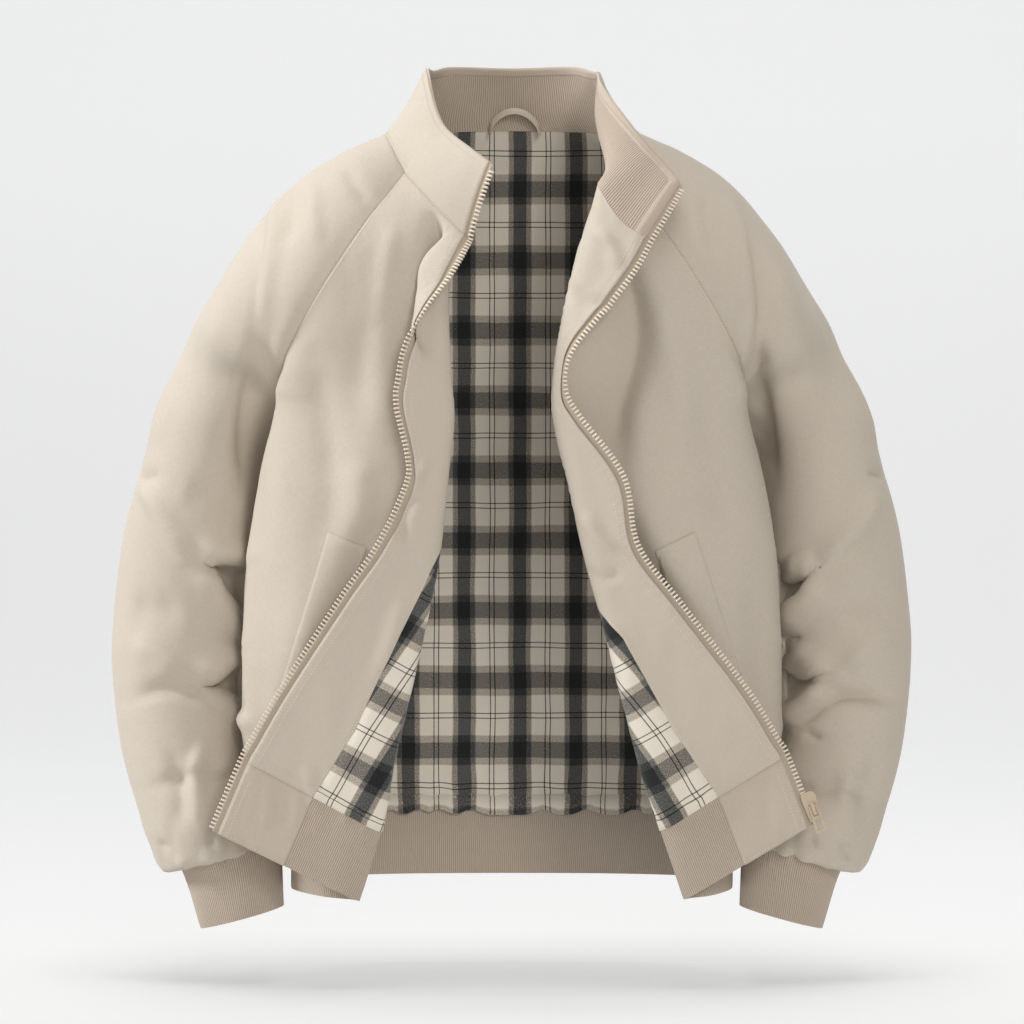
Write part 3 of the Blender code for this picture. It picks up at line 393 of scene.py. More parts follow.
def front_patch(side, rows):
    """Grid of one front (rows x columns x 3), and the same rows' tape and teeth lines."""
    controls = resample_rows(front_controls(side), rows, UNDERARM, [0])
    widths = np.interp(rows, np.arange(len(facing_widths(side))), facing_widths(side))
    cloth, trim = [], []
    for control, width in zip(controls, widths):
        line, lengths = dense(control)
        end = lengths[-1]
        folds = []
        for index in (4, 7):
            near = np.argmin(np.linalg.norm(line - control[index], axis=1))
            folds.append(lengths[near])
        body = spread(0, end - width, BODY_COLUMNS, folds[:1], 2.0, 14.0)
        facing = spread(end - width, end - CLOTH_END, FACING_COLUMNS, folds, 2.0, 14.0)
        cloth.append(along(line, lengths, np.concatenate([body, facing[1:]])))
        trim.append(along(line, lengths, [end - mark for mark in TRIM_MARKS]))
    return np.array(cloth), np.array(trim)


def even_patch(controls, columns):
    out = []
    for control in controls:
        line, lengths = dense(control)
        out.append(along(line, lengths, np.linspace(0, lengths[-1], columns + 1)))
    return np.array(out)


def back_patch(rows):
    return even_patch(resample_rows(back_controls(), rows, UNDERARM, [0, -1]), BACK_COLUMNS)


def sleeve_patch(side, rows):
    controls = resample_rows(sleeve_controls(side), rows, UNDERARM, [0, -1])
    out = even_patch(controls, SLEEVE_COLUMNS)
    return out + sleeve_folds(out, side) * seam_fade(out.shape[1])[:, None]


def seam_fade(columns, reach=7):
    """From 0 at both seams of a patch to 1 a few columns in."""
    near = np.minimum(np.arange(columns), np.arange(columns)[::-1]) / reach
    return smooth(near)


def smooth(t):
    t = np.clip(t, 0, 1)
    return t * t * (3 - 2 * t)


def sleeve_folds(points, side):
    """How far the sleeve's front is pushed in where its large folds lie."""
    x, y, z = np.abs(points[..., 0]), points[..., 1], points[..., 2]
    middle = np.interp(-z, (100, 300, 450, 600, 700), (4, 12, 0, -22, -42))
    ahead = np.clip((middle + 5 - y) / 30, 0, 1)
    push = np.zeros(x.shape)
    for *corners, depth, soft in SLEEVE_DENTS_LEFT if side > 0 else SLEEVE_DENTS_RIGHT:
        push += dent(x, z, corners, depth, soft)
    (x0, z0), (x1, z1), wide, deep = DRAPE_VALLEY
    t = (z - z0) / (z1 - z0)
    line = x0 + (x1 - x0) * t
    ends = np.clip(t / 0.3, 0, 1) * np.clip((1.08 - t) / 0.35, 0, 1)
    push += deep * np.exp(-(((x - line) / wide) ** 2)) * ends
    moved = np.zeros(points.shape)
    moved[..., 1] = push * ahead
    return moved


# ---------------------------------------------------------------- collar
def collar_patch(seam, heights):
    """Collar grid over a neck seam line: heights x seam points x 3, with its tape and teeth lines at both ends."""
    gaps = knots_of(seam, 1.0)
    knots, middle, top = [], [], []
    for _, sx, sy, sz, *rest in COLLAR:
        knots.append(gaps[np.argmin(np.linalg.norm(seam - np.array([sx, sy, sz]), axis=1))])
        middle.append(rest[:3])
        top.append(rest[3:])
    knots[0], knots[-1] = -CLOTH_END, gaps[-1] + CLOTH_END
    knots, middle, top = np.array(knots), np.array(middle, float), np.array(top, float)
    ends = [mark - CLOTH_END for mark in (TRIM_MARKS[3], TRIM_MARKS[2], TRIM_MARKS[1], TRIM_MARKS[0])]
    marks = np.concatenate([ends, gaps, [gaps[-1] - e for e in ends[::-1]]])
    upper, centre = curve(top, knots, marks), curve(middle, knots, marks)
    near = 12  # the seam's direction at its ends is taken over this many points
    first = seam[0] + np.array(ends)[:, None] * (seam[near] - seam[0]) / gaps[near]
    last = seam[-1] - np.array(ends[::-1])[:, None] * (seam[-1] - seam[-near]) / (gaps[-1] - gaps[-near])
    lower = np.vstack([first, seam, last])
    v = np.asarray(heights)[:, None, None]
    return lower * (1 - v) * (1 - 2 * v) + centre * 4 * v * (1 - v) + upper * v * (2 * v - 1)


# ---------------------------------------------------------------- surface
class Surface:
    """All patches as one mesh, so that neighbours share the points and normals of a seam."""

    def __init__(self):
        self.points, self.cells, self.grids, self.uv = [], [], {}, {}
        self.count = 0

    def add(self, name, grid, flip, uv):
        rows, columns = grid.shape[:2]
        index = np.arange(rows * columns).reshape(rows, columns) + self.count
        self.points.append(grid.reshape(-1, 3))
        self.count += rows * columns
        self.grids[name] = (index, flip)
        self.uv[name] = uv

    def weld(self):
        points = np.vstack(self.points)
        _, first, where = np.unique(
            np.round(points, 2), axis=0, return_index=True, return_inverse=True
        )
        self.points = points[first]
        where = where.reshape(-1)
        self.grids = {n: (where[g], flip) for n, (g, flip) in self.grids.items()}
        self.cells = np.vstack([self.cut(n)[0] for n in self.grids])
        self.turn()

    def turn(self):
        self.normals = normals_of(self.points, self.cells)

    def cut(self, name, rows=slice(None), columns=slice(None)):
        """Four-cornered cells of part of a patch, and their places on the flat cloth."""
        grid, flip = self.grids[name]
        return grid_cells(grid[rows, columns], flip), grid_cells(self.uv[name][rows, columns], flip)


def grid_cells(grid, flip):
    cells = np.stack([grid[:-1, :-1], grid[:-1, 1:], grid[1:, 1:], grid[1:, :-1]], axis=2)
    cells = cells.reshape(-1, *cells.shape[2:])
    return cells[:, ::-1] if flip else cells


def normals_of(points, cells):
    """Normals of the points, each cell weighted by its area."""
    corner = points[cells]
    across = np.cross(corner[:, 2] - corner[:, 0], corner[:, 3] - corner[:, 1])
    total = np.zeros(points.shape)
    for k in range(4):
        np.add.at(total, cells[:, k], across)
    return total / np.maximum(np.linalg.norm(total, axis=1), 1e-9)[:, None]


def flat_places(grid, from_end):
    """Where each grid point lies on the flat cloth: distance across its row, and down the middle of the patch."""
    across = np.cumsum(np.linalg.norm(np.diff(grid, axis=1), axis=2), axis=1)
    across = np.hstack([np.zeros((len(grid), 1)), across])
    if from_end:
        across = across[:, -1:] - across + CLOTH_END
        down = np.linalg.norm(np.diff(grid[:, -1], axis=0), axis=1)
    else:
        across -= across[:, -1:] / 2
        down = np.linalg.norm(np.diff(grid, axis=0), axis=2).mean(axis=1)
    down = np.concatenate([[0], np.cumsum(down)])
    return np.stack([across, np.repeat(down[:, None], grid.shape[1], axis=1)], axis=2)


def rim_of(cells):
    """Directed edges that only one cell has."""
    ends = np.vstack([np.stack([cells[:, k], cells[:, (k + 1) % cells.shape[1]]], 1) for k in range(cells.shape[1])])
    ends = ends[ends[:, 0] != ends[:, 1]]
    most = ends.max() + 1
    keys = ends[:, 0] * most + ends[:, 1]
    back = ends[:, 1] * most + ends[:, 0]
    return ends[~np.isin(keys, back)]


def slab(name, points, normals, cells, uv, layer, inset=SEAM_GAP / 2):
    """A closed wall over the cells, with a rounded rim, drawn in at its edge by the inset."""
    used, cells = np.unique(cells, return_inverse=True)
    cells = cells.reshape(-1, 4)
    points, normals = points[used], normals[used]
    rim = rim_of(cells)
    edge = points[rim[:, 1]] - points[rim[:, 0]]
    edge /= np.maximum(np.linalg.norm(edge, axis=1), 1e-9)[:, None]
    inward = np.zeros(points.shape)
    for k in range(2):
        np.add.at(inward, rim[:, k], np.cross(normals[rim[:, k]], edge))
    length = np.linalg.norm(inward, axis=1)
    inward /= np.maximum(length, 1e-9)[:, None]
    base = points + inward * (inset * np.minimum(2 / np.maximum(length, 1e-6), 1.6) * (length > 1e-6))[:, None]
    count, bulge = len(points), 0.35 * (layer[1] - layer[0])
    rim_points = np.unique(rim)
    place = np.zeros(count, int)
    place[rim_points] = np.arange(len(rim_points)) + 2 * count
    middle = base[rim_points] + normals[rim_points] * sum(layer) / 2 - inward[rim_points] * bulge
    low, high = base + normals * layer[0], base + normals * layer[1]
    a, b = rim[:, 0], rim[:, 1]
    ma, mb = place[a], place[b]
    sides = np.vstack([
        np.stack([b + count, a + count, ma, mb], 1),
        np.stack([mb, ma, a, b], 1),
    ])
    faces = np.vstack([cells + count, cells[:, ::-1], sides])
    places = np.zeros((3 * count, 2))
    places[cells] = uv
    places[cells + count] = uv
    places[place[rim_points]] = places[rim_points]
    loops = np.concatenate([part.reshape(-1, 2) for part in (uv, uv[:, ::-1], places[sides])])
    return make(name, np.vstack([low, high, middle]), faces, loops)


def make(name, points, faces, loops=None, flat=False):
    """A mesh object from mm. loops are the places on the flat cloth, in mm, of each face's corners."""
    mesh = bpy.data.meshes.new(name)
    faces = np.asarray(faces)
    mesh.vertices.add(len(points))
    mesh.vertices.foreach_set("co", (np.asarray(points, float) / 1000).ravel())
    corners = faces.shape[1]
    mesh.loops.add(faces.size)
    mesh.loops.foreach_set("vertex_index", faces.ravel().astype(np.int32))
    mesh.polygons.add(len(faces))
    mesh.polygons.foreach_set("loop_start", np.arange(len(faces), dtype=np.int32) * corners)
    mesh.update(calc_edges=True)
    if loops is not None:
        layer = mesh.uv_layers.new(name="cloth")
        layer.data.foreach_set("uv", (np.asarray(loops, float) / 1000).ravel())
    mesh.validate()
    if not flat:
        mesh.shade_smooth()
        mesh.set_sharp_from_angle(angle=math.radians(60))
    body = bpy.data.objects.new(name, mesh)
    bpy.context.scene.collection.objects.link(body)
    return body


# ---------------------------------------------------------------- creases
def crease_weight(points, normals, side, facing):
    """Which cloth a crease is on: the front, the back, or the flap that a front's roll turns over."""
    x, y = points[:, 0] * side, points[:, 1]
    beside = smooth((x + 12) / 20)
    turned = normals[:, 1]
    if facing == "front":
        return beside * smooth((-turned + 0.05) / 0.35)
    if facing == "flap":
        return beside * smooth((turned - 0.05) / 0.3) * (y < -85)
    return beside * smooth((turned + 0.05) / 0.35) * (y > -20)


def add_creases(points, normals, table):
    """Moves the points along their normals by each crease of the table."""
    height = np.zeros(len(points))
    for side, facing, path, wide, high, steep in table:
        path = np.array([(px, 0.0, pz) for px, pz in path])
        line, lengths = dense(path, 60)
        where = np.flatnonzero(
            (np.abs(points[:, 0] * side - line[:, 0].mean()) < np.ptp(line[:, 0]) / 2 + 4 * wide)
            & (np.abs(points[:, 2] - line[:, 2].mean()) < np.ptp(line[:, 2]) / 2 + 4 * wide)
        )
        if not len(where):
            continue
        dx = points[where, 0][:, None] * side - line[None, :, 0]
        dz = points[where, 2][:, None] - line[None, :, 2]
        gap = dx**2 + dz**2
        near = gap.argmin(axis=1)
        gap = np.sqrt(gap[np.arange(len(where)), near])
        ahead = np.gradient(line, axis=0)[near]
        turn = ahead[:, 0] * dz[np.arange(len(where)), near] - ahead[:, 2] * dx[np.arange(len(where)), near]
        reach = wide * np.where(turn > 0, 1 - steep, 1 + steep)
        t = lengths[near] / lengths[-1]
        ends = smooth(t / 0.3) * smooth((1 - t) / 0.3) * 0.85 + 0.15
        shape = np.exp(-((gap / reach) ** 2))
        height[where] += high * shape * ends * crease_weight(points[where], normals[where], side, facing)
    return points + normals * height[:, None]


CREASES = (
    # side (-1 is the wearer's right), cloth, path (x outward, z), half width, height (a trough is below 0), steepness of one side
    # wearer's right sleeve, front
    (-1, "front", ((225, -205), (238, -228), (244, -271), (242, -330)), 9, -8.0, 0.2),
    (-1, "front", ((339, -326), (325, -342), (308, -372), (286, -397)), 9, 7.5, 0.3),
    (-1, "front", ((341, -322), (318, -318)), 6, -3.8, 0.0),
    (-1, "front", ((300, -330), (270, -340), (245, -352)), 16, -4.5, 0.0),
    (-1, "front", ((286, -395), (268, -390), (238, -393)), 10, 9.5, 0.55),
    (-1, "front", ((281, -394), (267, -425), (252, -447), (243, -470)), 9, 8, -0.5),
    (-1, "front", ((246, -476), (262, -489), (282, -507)), 10, 9, -0.5),
    (-1, "front", ((282, -508), (252, -530), (232, -549)), 10, 8, -0.45),
    (-1, "front", ((347, -524), (318, -512), (282, -519), (250, -543)), 8, -6.8, 0.2),
    (-1, "front", ((279, -556), (286, -584), (281, -626), (272, -640)), 7, 6.0, 0.3),
    (-1, "front", ((310, -560), (300, -590), (296, -640)), 8, -3.8, 0.0),
    (-1, "front", ((319, -645), (296, -666)), 4, -3.8, 0.0),
    (-1, "front", ((311, -652), (290, -672)), 3.5, 3.0, 0.0),
    (-1, "front", ((270, -630), (271, -655)), 4, -3.8, 0.0),
    (-1, "front", ((330, -180), (322, -240), (330, -300)), 18, 3.8, 0.0),
    (-1, "front", ((214, -52), (214, -110), (223, -190)), 7, 5.9, 0.3),
    (-1, "front", ((194, -45), (196, -85), (204, -118)), 8, -3.9, 0.0),
    (-1, "front", ((180, -50), (176, -90), (172, -118)), 7, 2.9, 0.0),
    (-1, "front", ((150, -40), (138, -62), (126, -80)), 6, -2.6, 0.0),
    (-1, "front", ((300, -500), (322, -478), (346, -470)), 12, 4.5, 0.2),
    (-1, "front", ((296, -430), (318, -440), (350, -436)), 16, -4, 0.0),
    (-1, "front", ((238, -580), (262, -592), (290, -588), (330, -600)), 9, -4.5, 0.3),
    (-1, "front", ((262, -100), (286, -160), (306, -230)), 16, -3.0, 0.0),
    (-1, "front", ((240, -110), (262, -180), (276, -250)), 12, 3.0, 0.0),
    # wearer's left sleeve, front
    (1, "front", ((300, -496), (322, -474), (350, -462)), 12, 6.3, 0.2),
    (1, "front", ((296, -426), (322, -434), (352, -426)), 16, -5.6, 0.0),
    (1, "front", ((244, -590), (270, -604), (300, -600), (336, -612)), 9, -6.3, 0.3),
    (1, "front", ((256, -96), (280, -160), (300, -226)), 16, -4.2, 0.0),
    (1, "front", ((232, -110), (252, -180), (268, -250)), 12, 4.2, 0.0),
    (1, "front", ((217, -185), (224, -226), (231, -270), (240, -325)), 9, -11.2, 0.2),
    (1, "front", ((332, -328), (318, -358), (298, -381), (275, -401)), 9, 10.5, 0.3),
    (1, "front", ((340, -320), (322, -312)), 6, -5.3, 0.0),
    (1, "front", ((246, -397), (261, -406), (280, -401)), 10, 13.3, -0.5),
    (1, "front", ((280, -404), (267, -429), (253, -443), (243, -460)), 9, 11.2, -0.5),
    (1, "front", ((247, -466), (264, -465)), 4, -5.3, 0.0),
    (1, "front", ((247, -478), (262, -492), (286, -502)), 10, 12.6, -0.5),
    (1, "front", ((286, -505), (270, -523), (242, -546)), 10, 11.2, -0.45),
    (1, "front", ((353, -524), (320, -518), (293, -520), (248, -555)), 8, -9.5, 0.2),
    (1, "front", ((264, -550), (280, -556)), 4, -4.2, 0.0),
    (1, "front", ((303, -580), (300, -600), (298, -616)), 8, 6.3, 0.2),
    (1, "front", ((330, -560), (322, -600), (316, -640)), 9, -5.3, 0.0),
    (1, "front", ((267, -640), (274, -655)), 4, -5.3, 0.0),
    (1, "front", ((297, -644), (304, -666)), 4, -5.3, 0.0),
    (1, "front", ((195, -62), (203, -110), (214, -210)), 7, 8.3, 0.3),
    (1, "front", ((330, -190), (322, -240), (330, -300)), 18, 5.3, 0.0),
    (1, "front", ((172, -60), (176, -95), (184, -130)), 9, -4.8, 0.0),
    # fronts
    (1, "front", ((84, -110), (104, -150), (112, -205), (96, -262), (92, -330)), 25, -21.0, 0.5),
    (1, "front", ((92, -330), (112, -385), (140, -430), (176, -480)), 18, -12.5, 0.4),
    (1, "front", ((128, -150), (142, -230), (150, -330)), 16, 4.5, 0.0),
    (-1, "front", ((206, -265), (196, -330), (190, -420), (196, -520)), 20, 6.5, 0.0),
    (-1, "front", ((176, -215), (166, -270), (160, -330)), 13, -5.2, 0.0),
    (-1, "front", ((116, -165), (118, -230), (112, -300)), 15, 5.2, 0.0),
    (-1, "front", ((122, -330), (142, -400), (166, -470), (196, -540)), 15, -7.8, 0.3),
    (-1, "front", ((162, -290), (160, -330), (166, -385)), 12, -3.6, 0.2),
    (-1, "front", ((138, -300), (134, -340), (139, -378)), 9, 2.9, 0.0),
    (-1, "front", ((206, -290), (208, -360), (215, -440)), 12, 3.4, 0.0),
    (-1, "front", ((120, -170), (128, -210), (132, -260)), 14, -2.6, 0.0),
    (-1, "front", ((105, -85), (110, -130), (118, -190)), 9, 3.1, 0.0),
    (-1, "front", ((146, -420), (160, -490), (186, -565)), 16, -8.0, 0.3),
    (-1, "front", ((222, -480), (226, -540), (222, -600)), 11, -3.1, 0.0),
    (1, "front", ((150, -330), (160, -345), (186, -352)), 8, 2.3, 0.0),
    (1, "front", ((178, -250), (180, -320), (196, -380)), 14, -3.1, 0.2),
    (1, "front", ((150, -180), (152, -230), (158, -280)), 12, 2.6, 0.0),
    (1, "front", ((214, -400), (220, -470), (222, -560)), 12, -3.4, 0.0),
    (1, "front", ((186, -540), (192, -575), (196, -610)), 8, -3.1, 0.0),
    # flaps
    (-1, "flap", ((82, -331), (94, -352), (100, -386)), 5, 4.5, 0.2),
    (-1, "flap", ((70, -300), (84, -318), (92, -330)), 5, -3.2, 0.0),
    (-1, "flap", ((96, -420), (104, -455), (120, -500)), 8, -3.2, 0.0),
    (1, "flap", ((70, -100), (84, -112), (96, -140)), 6, -3.9, 0.0),
    (1, "flap", ((52, -150), (66, -165), (88, -168)), 6, 3.4, 0.0),
    (1, "flap", ((60, -350), (78, -372), (96, -386)), 5, -3.9, 0.0),
    (1, "flap", ((66, -400), (80, -410), (98, -402)), 5, 3.2, 0.0),
    (1, "flap", ((84, -440), (98, -480), (110, -520)), 7, -3.2, 0.0),
    # back of both sleeves and the back, which the photo doesn't show
    (-1, "back", ((352, -360), (322, -384), (288, -392), (262, -384)), 8, 7.5, 0.3),
    (-1, "back", ((346, -402), (312, -418), (276, -416)), 8, -9.0, 0.0),
    (-1, "back", ((352, -452), (316, -470), (274, -462)), 9, 8.2, 0.3),
    (-1, "back", ((340, -500), (300, -512), (262, -498)), 8, -7.5, 0.0),
    (-1, "back", ((346, -560), (312, -580), (268, -570)), 9, 6.0, 0.2),
    (-1, "back", ((300, -610), (290, -640), (280, -660)), 6, -3.8, 0.0),
    (-1, "back", ((224, -190), (240, -240), (244, -310)), 10, -9.0, 0.2),
    (-1, "back", ((196, -60), (206, -120), (220, -200)), 9, 5.2, 0.2),
    (1, "back", ((352, -378), (320, -398), (284, -410), (258, -396)), 8, 7.5, 0.3),
    (1, "back", ((344, -424), (308, -440), (270, -434)), 8, -9.0, 0.0),
    (1, "back", ((354, -474), (318, -486), (276, -484)), 9, 8.2, 0.3),
    (1, "back", ((342, -524), (302, -536), (260, -520)), 8, -7.5, 0.0),
    (1, "back", ((344, -586), (306, -600), (266, -588)), 9, 6.0, 0.2),
    (1, "back", ((306, -622), (296, -648), (284, -664)), 6, -3.8, 0.0),
    (1, "back", ((222, -196), (236, -244), (242, -318)), 10, -9.0, 0.2),
    (1, "back", ((190, -64), (202, -124), (216, -206)), 9, 5.2, 0.2),
    (-1, "back", ((176, -300), (150, -360), (140, -440)), 15, -4.5, 0.2),
    (-1, "back", ((120, -480), (112, -540), (116, -610)), 13, 4.2, 0.2),
    (-1, "back", ((60, -520), (52, -580), (50, -630)), 11, -3.4, 0.0),
    (1, "back", ((182, -310), (160, -380), (150, -450)), 15, -4.5, 0.2),
    (1, "back", ((96, -500), (88, -560), (92, -625)), 13, 3.9, 0.2),
    (1, "back", ((150, -540), (146, -590), (150, -630)), 10, -3.6, 0.0),
    (1, "back", ((24, -540), (20, -590), (24, -632)), 9, 3.1, 0.0),
)


def add_waves(points, normals):
    """Unevenness of soft cloth: long low waves all over, and gathers just above the hem rib and the cuffs."""
    height = np.zeros(len(points))
    for k, (x, y, z) in enumerate(points):
        long_wave = noise.noise(Vector((x / 46, y / 46, z / 95)))
        short_wave = noise.noise(Vector((x / 17, y / 17, z / 40 + 9)))
        height[k] = 1.1 * long_wave + 0.35 * short_wave
    x, y, z = points.T
    body = np.abs(x) < 232
    over_hem = smooth((z + 633) / 12) * smooth((-566 - z) / 40) * body
    over_cuff = smooth((z + 676) / 10) * smooth((-610 - z) / 40) * ~body
    near = np.flatnonzero((over_hem + over_cuff > 0.01))
    for k in near:
        v = Vector((points[k, 0] / 11, points[k, 1] / 11, points[k, 2] / 130))
        height[k] += 3.2 * noise.noise(v) * (over_hem[k] + 0.7 * over_cuff[k])
    return points + normals * height[:, None]


# ---------------------------------------------------------------- pieces
BODY_STEPS = (12, 7, 16, 26, 17, 17, 17, 7, 8, 8, 9, 12, 12, 12)
TUBE_STEPS = (14, 16, 17, 17, 18, 17, 17, 16, 12, 10, 6)
CUFF_STEPS = 14


def row_numbers(steps, first=0):
    out = [float(first)]
    for k, count in enumerate(steps):
        out += [first + k + (j + 1) / count for j in range(count)]
    return np.array(out)


def side_word(side):
    return "right" if side < 0 else "left"


def build_surface():
    """Every patch of cloth on one mesh, creased."""
    rows = row_numbers(BODY_STEPS)
    split = int(np.argmin(np.abs(rows - UNDERARM)))
    top = (NECK_ROW - rows[split:])[::-1]
    tube, cuff = row_numbers(TUBE_STEPS, UNDERARM), row_numbers([CUFF_STEPS], CUFF_ROW)
    sleeve_rows = np.concatenate([top, tube[1:], cuff[1:]])
    surface = Surface()
    fronts, trims, sleeves = {}, {}, {}
    back = back_patch(rows)
    for side in (-1, 1):
        word = side_word(side)
        fronts[side], trims[word] = front_patch(side, rows)
        sleeves[side] = sleeve_patch(side, sleeve_rows)
        edge = 0 if side < 0 else -1
        back[: split + 1, edge] = fronts[side][: split + 1, 0]
        sleeves[side][: len(top), 0] = fronts[side][split:, 0][::-1]
        sleeves[side][: len(top), -1] = back[split:, edge][::-1]
        sleeves[side][len(top) - 1 :, -1] = sleeves[side][len(top) - 1 :, 0]
    for side in (-1, 1):
        word = side_word(side)
        surface.add(f"front_{word}", fronts[side], side > 0, flat_places(fronts[side], True))
        surface.add(f"sleeve_{word}", sleeves[side], side > 0, flat_places(sleeves[side], False))
    places = flat_places(back, False)
    places[..., 1] = -back[..., 2]
    surface.add("back", back, True, places)
    seam = np.vstack([
        fronts[-1][-1][::-1], sleeves[-1][0][1:], back[-1][1:], sleeves[1][0][::-1][1:], fronts[1][-1][1:],
    ])
    collar = collar_patch(seam, np.linspace(0, 1, COLLAR_ROWS))
    surface.add("collar", collar[:, 4:-4], True, flat_places(collar[:, 4:-4], False))
    surface.weld()
    plain = surface.points.copy()
    surface.points = add_creases(surface.points, surface.normals, CREASES)
    surface.points = add_waves(surface.points, surface.normals)
    moved = surface.points - plain
    surface.turn()
    return surface, rows, sleeve_rows, trims, collar, moved


def follow_creases(lines, surface, moved):
    """Moves the zip's lines with the nearest cloth edge, which the creases have moved."""
    fronts = [surface.grids[f"front_{word}"][0][:, -1] for word in ("right", "left")]
    edge = np.concatenate(fronts + [surface.grids["collar"][0][:, [0, -1]].ravel()])
    rest = surface.points[edge] - moved[edge]
    out = lines.copy()
    for k, row in enumerate(lines):
        gap = np.linalg.norm(rest - row[0], axis=1)
        near = gap.argsort()[:3]
        out[k] += moved[edge[near]].mean(axis=0)
    return out


# ---------------------------------------------------------------- materials
def linear(red, green, blue):
    """Linear colour of an sRGB one given from 0 to 255."""
    return tuple(
        (c / 3294.6 if c <= 10 else ((c / 255 + 0.055) / 1.055) ** 2.4) for c in (red, green, blue)
    ) + (1.0,)


class Material:
    """A node material, built by short calls that each return an output socket."""

    def __init__(self, name, roughness, sheen=0.0, metallic=0.0, coat=0.0):
        self.made = bpy.data.materials.new(name)
        self.made.use_nodes = True
        self.tree = self.made.node_tree
        self.shader = self.tree.nodes["Principled BSDF"]
        for socket, value in (
            ("Roughness", roughness), ("Sheen Weight", sheen), ("Sheen Roughness", 0.5),
            ("Metallic", metallic), ("Coat Weight", coat), ("Specular IOR Level", 0.3),
        ):
            self.shader.inputs[socket].default_value = value
        uv = self.tree.nodes.new("ShaderNodeUVMap")
        uv.uv_map = "cloth"
        self.flat = uv.outputs["UV"]
        self.space = self.tree.nodes.new("ShaderNodeTexCoord").outputs["Object"]

    def node(self, kind, settings=(), **inputs):
        made = self.tree.nodes.new(kind)
        for name, value in settings:
            setattr(made, name, value)
        for name, value in inputs.items():
            self.put(made.inputs[name.replace("_", " ")], value)
        return made

    def put(self, socket, value):
        if isinstance(value, bpy.types.NodeSocket):
            self.tree.links.new(value, socket)
        else:
            socket.default_value = value

    def math(self, operation, a, b=0.0, c=0.0, clamp=False):
        made = self.node("ShaderNodeMath", (("operation", operation), ("use_clamp", clamp)))
        for socket, value in zip(made.inputs, (a, b, c)):
            self.put(socket, value)
        return made.outputs[0]

    def scaled(self, vector, x, y, z=1.0):
        made = self.node("ShaderNodeVectorMath", (("operation", "MULTIPLY"),))
        self.put(made.inputs[0], vector)
        made.inputs[1].default_value = (x, y, z)
        return made.outputs[0]

    def noise(self, vector, scale, detail=2.0, roughness=0.5):
        made = self.node("ShaderNodeTexNoise", (), Vector=vector, Scale=scale, Detail=detail, Roughness=roughness)
        return made.outputs["Fac"]

    def step(self, value, low, high, to_low=0.0, to_high=1.0):
        made = self.node("ShaderNodeMapRange", (("interpolation_type", "SMOOTHSTEP"),))
        for socket, given in zip(("Value", "From Min", "From Max", "To Min", "To Max"), (value, low, high, to_low, to_high)):
            self.put(made.inputs[socket], given)
        return made.outputs[0]

    def mix(self, share, a, b, blend="MIX"):
        made = self.node("ShaderNodeMix", (("data_type", "RGBA"), ("blend_type", blend)))
        self.put(made.inputs[0], share)
        self.put(made.inputs[6], a)
        self.put(made.inputs[7], b)
        return made.outputs[2]

    def ramp(self, value, stops):
        made = self.node("ShaderNodeValToRGB", (), Fac=value)
        ramp = made.color_ramp
        while len(ramp.elements) < len(stops):
            ramp.elements.new(1.0)
        for element, (place, colour) in zip(ramp.elements, stops):
            element.position, element.color = place, colour
        return made.outputs["Color"]

    def bump(self, height, distance, strength=1.0):
        bump = self.node("ShaderNodeBump", (), Height=height, Distance=distance, Strength=strength)
        self.put(self.shader.inputs["Normal"], bump.outputs[0])

    def colour(self, colour):
        self.put(self.shader.inputs["Base Color"], colour)
        return self.made

    def threads(self, warp, weft, length=9.0):
        """Uneven threads of a weave: warp and weft streaks, this many a metre."""
        up = self.noise(self.scaled(self.flat, warp, warp / length), 1.0, 1.0)
        across = self.noise(self.scaled(self.flat, weft / length, weft), 1.0, 1.0)
        return up, across


def cotton(name, tone, dark=0.86, sheen=0.12, puckered=False):
    """Plain woven cotton: two thread directions, soft mottling and a fine grain."""
    m = Material(name, 0.82, sheen)
    up, across = m.threads(1500, 1300)
    grain = m.math("ADD", m.math("MULTIPLY", up, 0.5), m.math("MULTIPLY", across, 0.5))
    cloud = m.noise(m.space, 14.0, 3.0)
    shade = tuple(c * dark for c in tone[:3]) + (1.0,)
    value = m.math("ADD", m.math("MULTIPLY", m.step(grain, 0.32, 0.68), 0.6), m.math("MULTIPLY", cloud, 0.4))
    pucker = m.noise(m.scaled(m.flat, 90, 60), 1.0, 2.0)
    height = m.math("ADD", m.math("MULTIPLY", grain, 0.35), m.math("MULTIPLY", pucker, 1.0))
    if puckered:
        edge = m.node("ShaderNodeSeparateXYZ", (), Vector=m.flat).outputs[0]
        beside_zip = m.step(edge, 0.014, 0.024, 1.0, 0.0)
        drawn = m.noise(m.scaled(m.flat, 22, 210), 1.0, 1.0)
        height = m.math("ADD", height, m.math("MULTIPLY", m.math("MULTIPLY", drawn, beside_zip), 2.2))
    m.bump(height, 0.0005, 0.55)
    return m.colour(m.mix(value, shade, tone))


LOOP_LENGTH = 0.0016  # of the knit, in metres


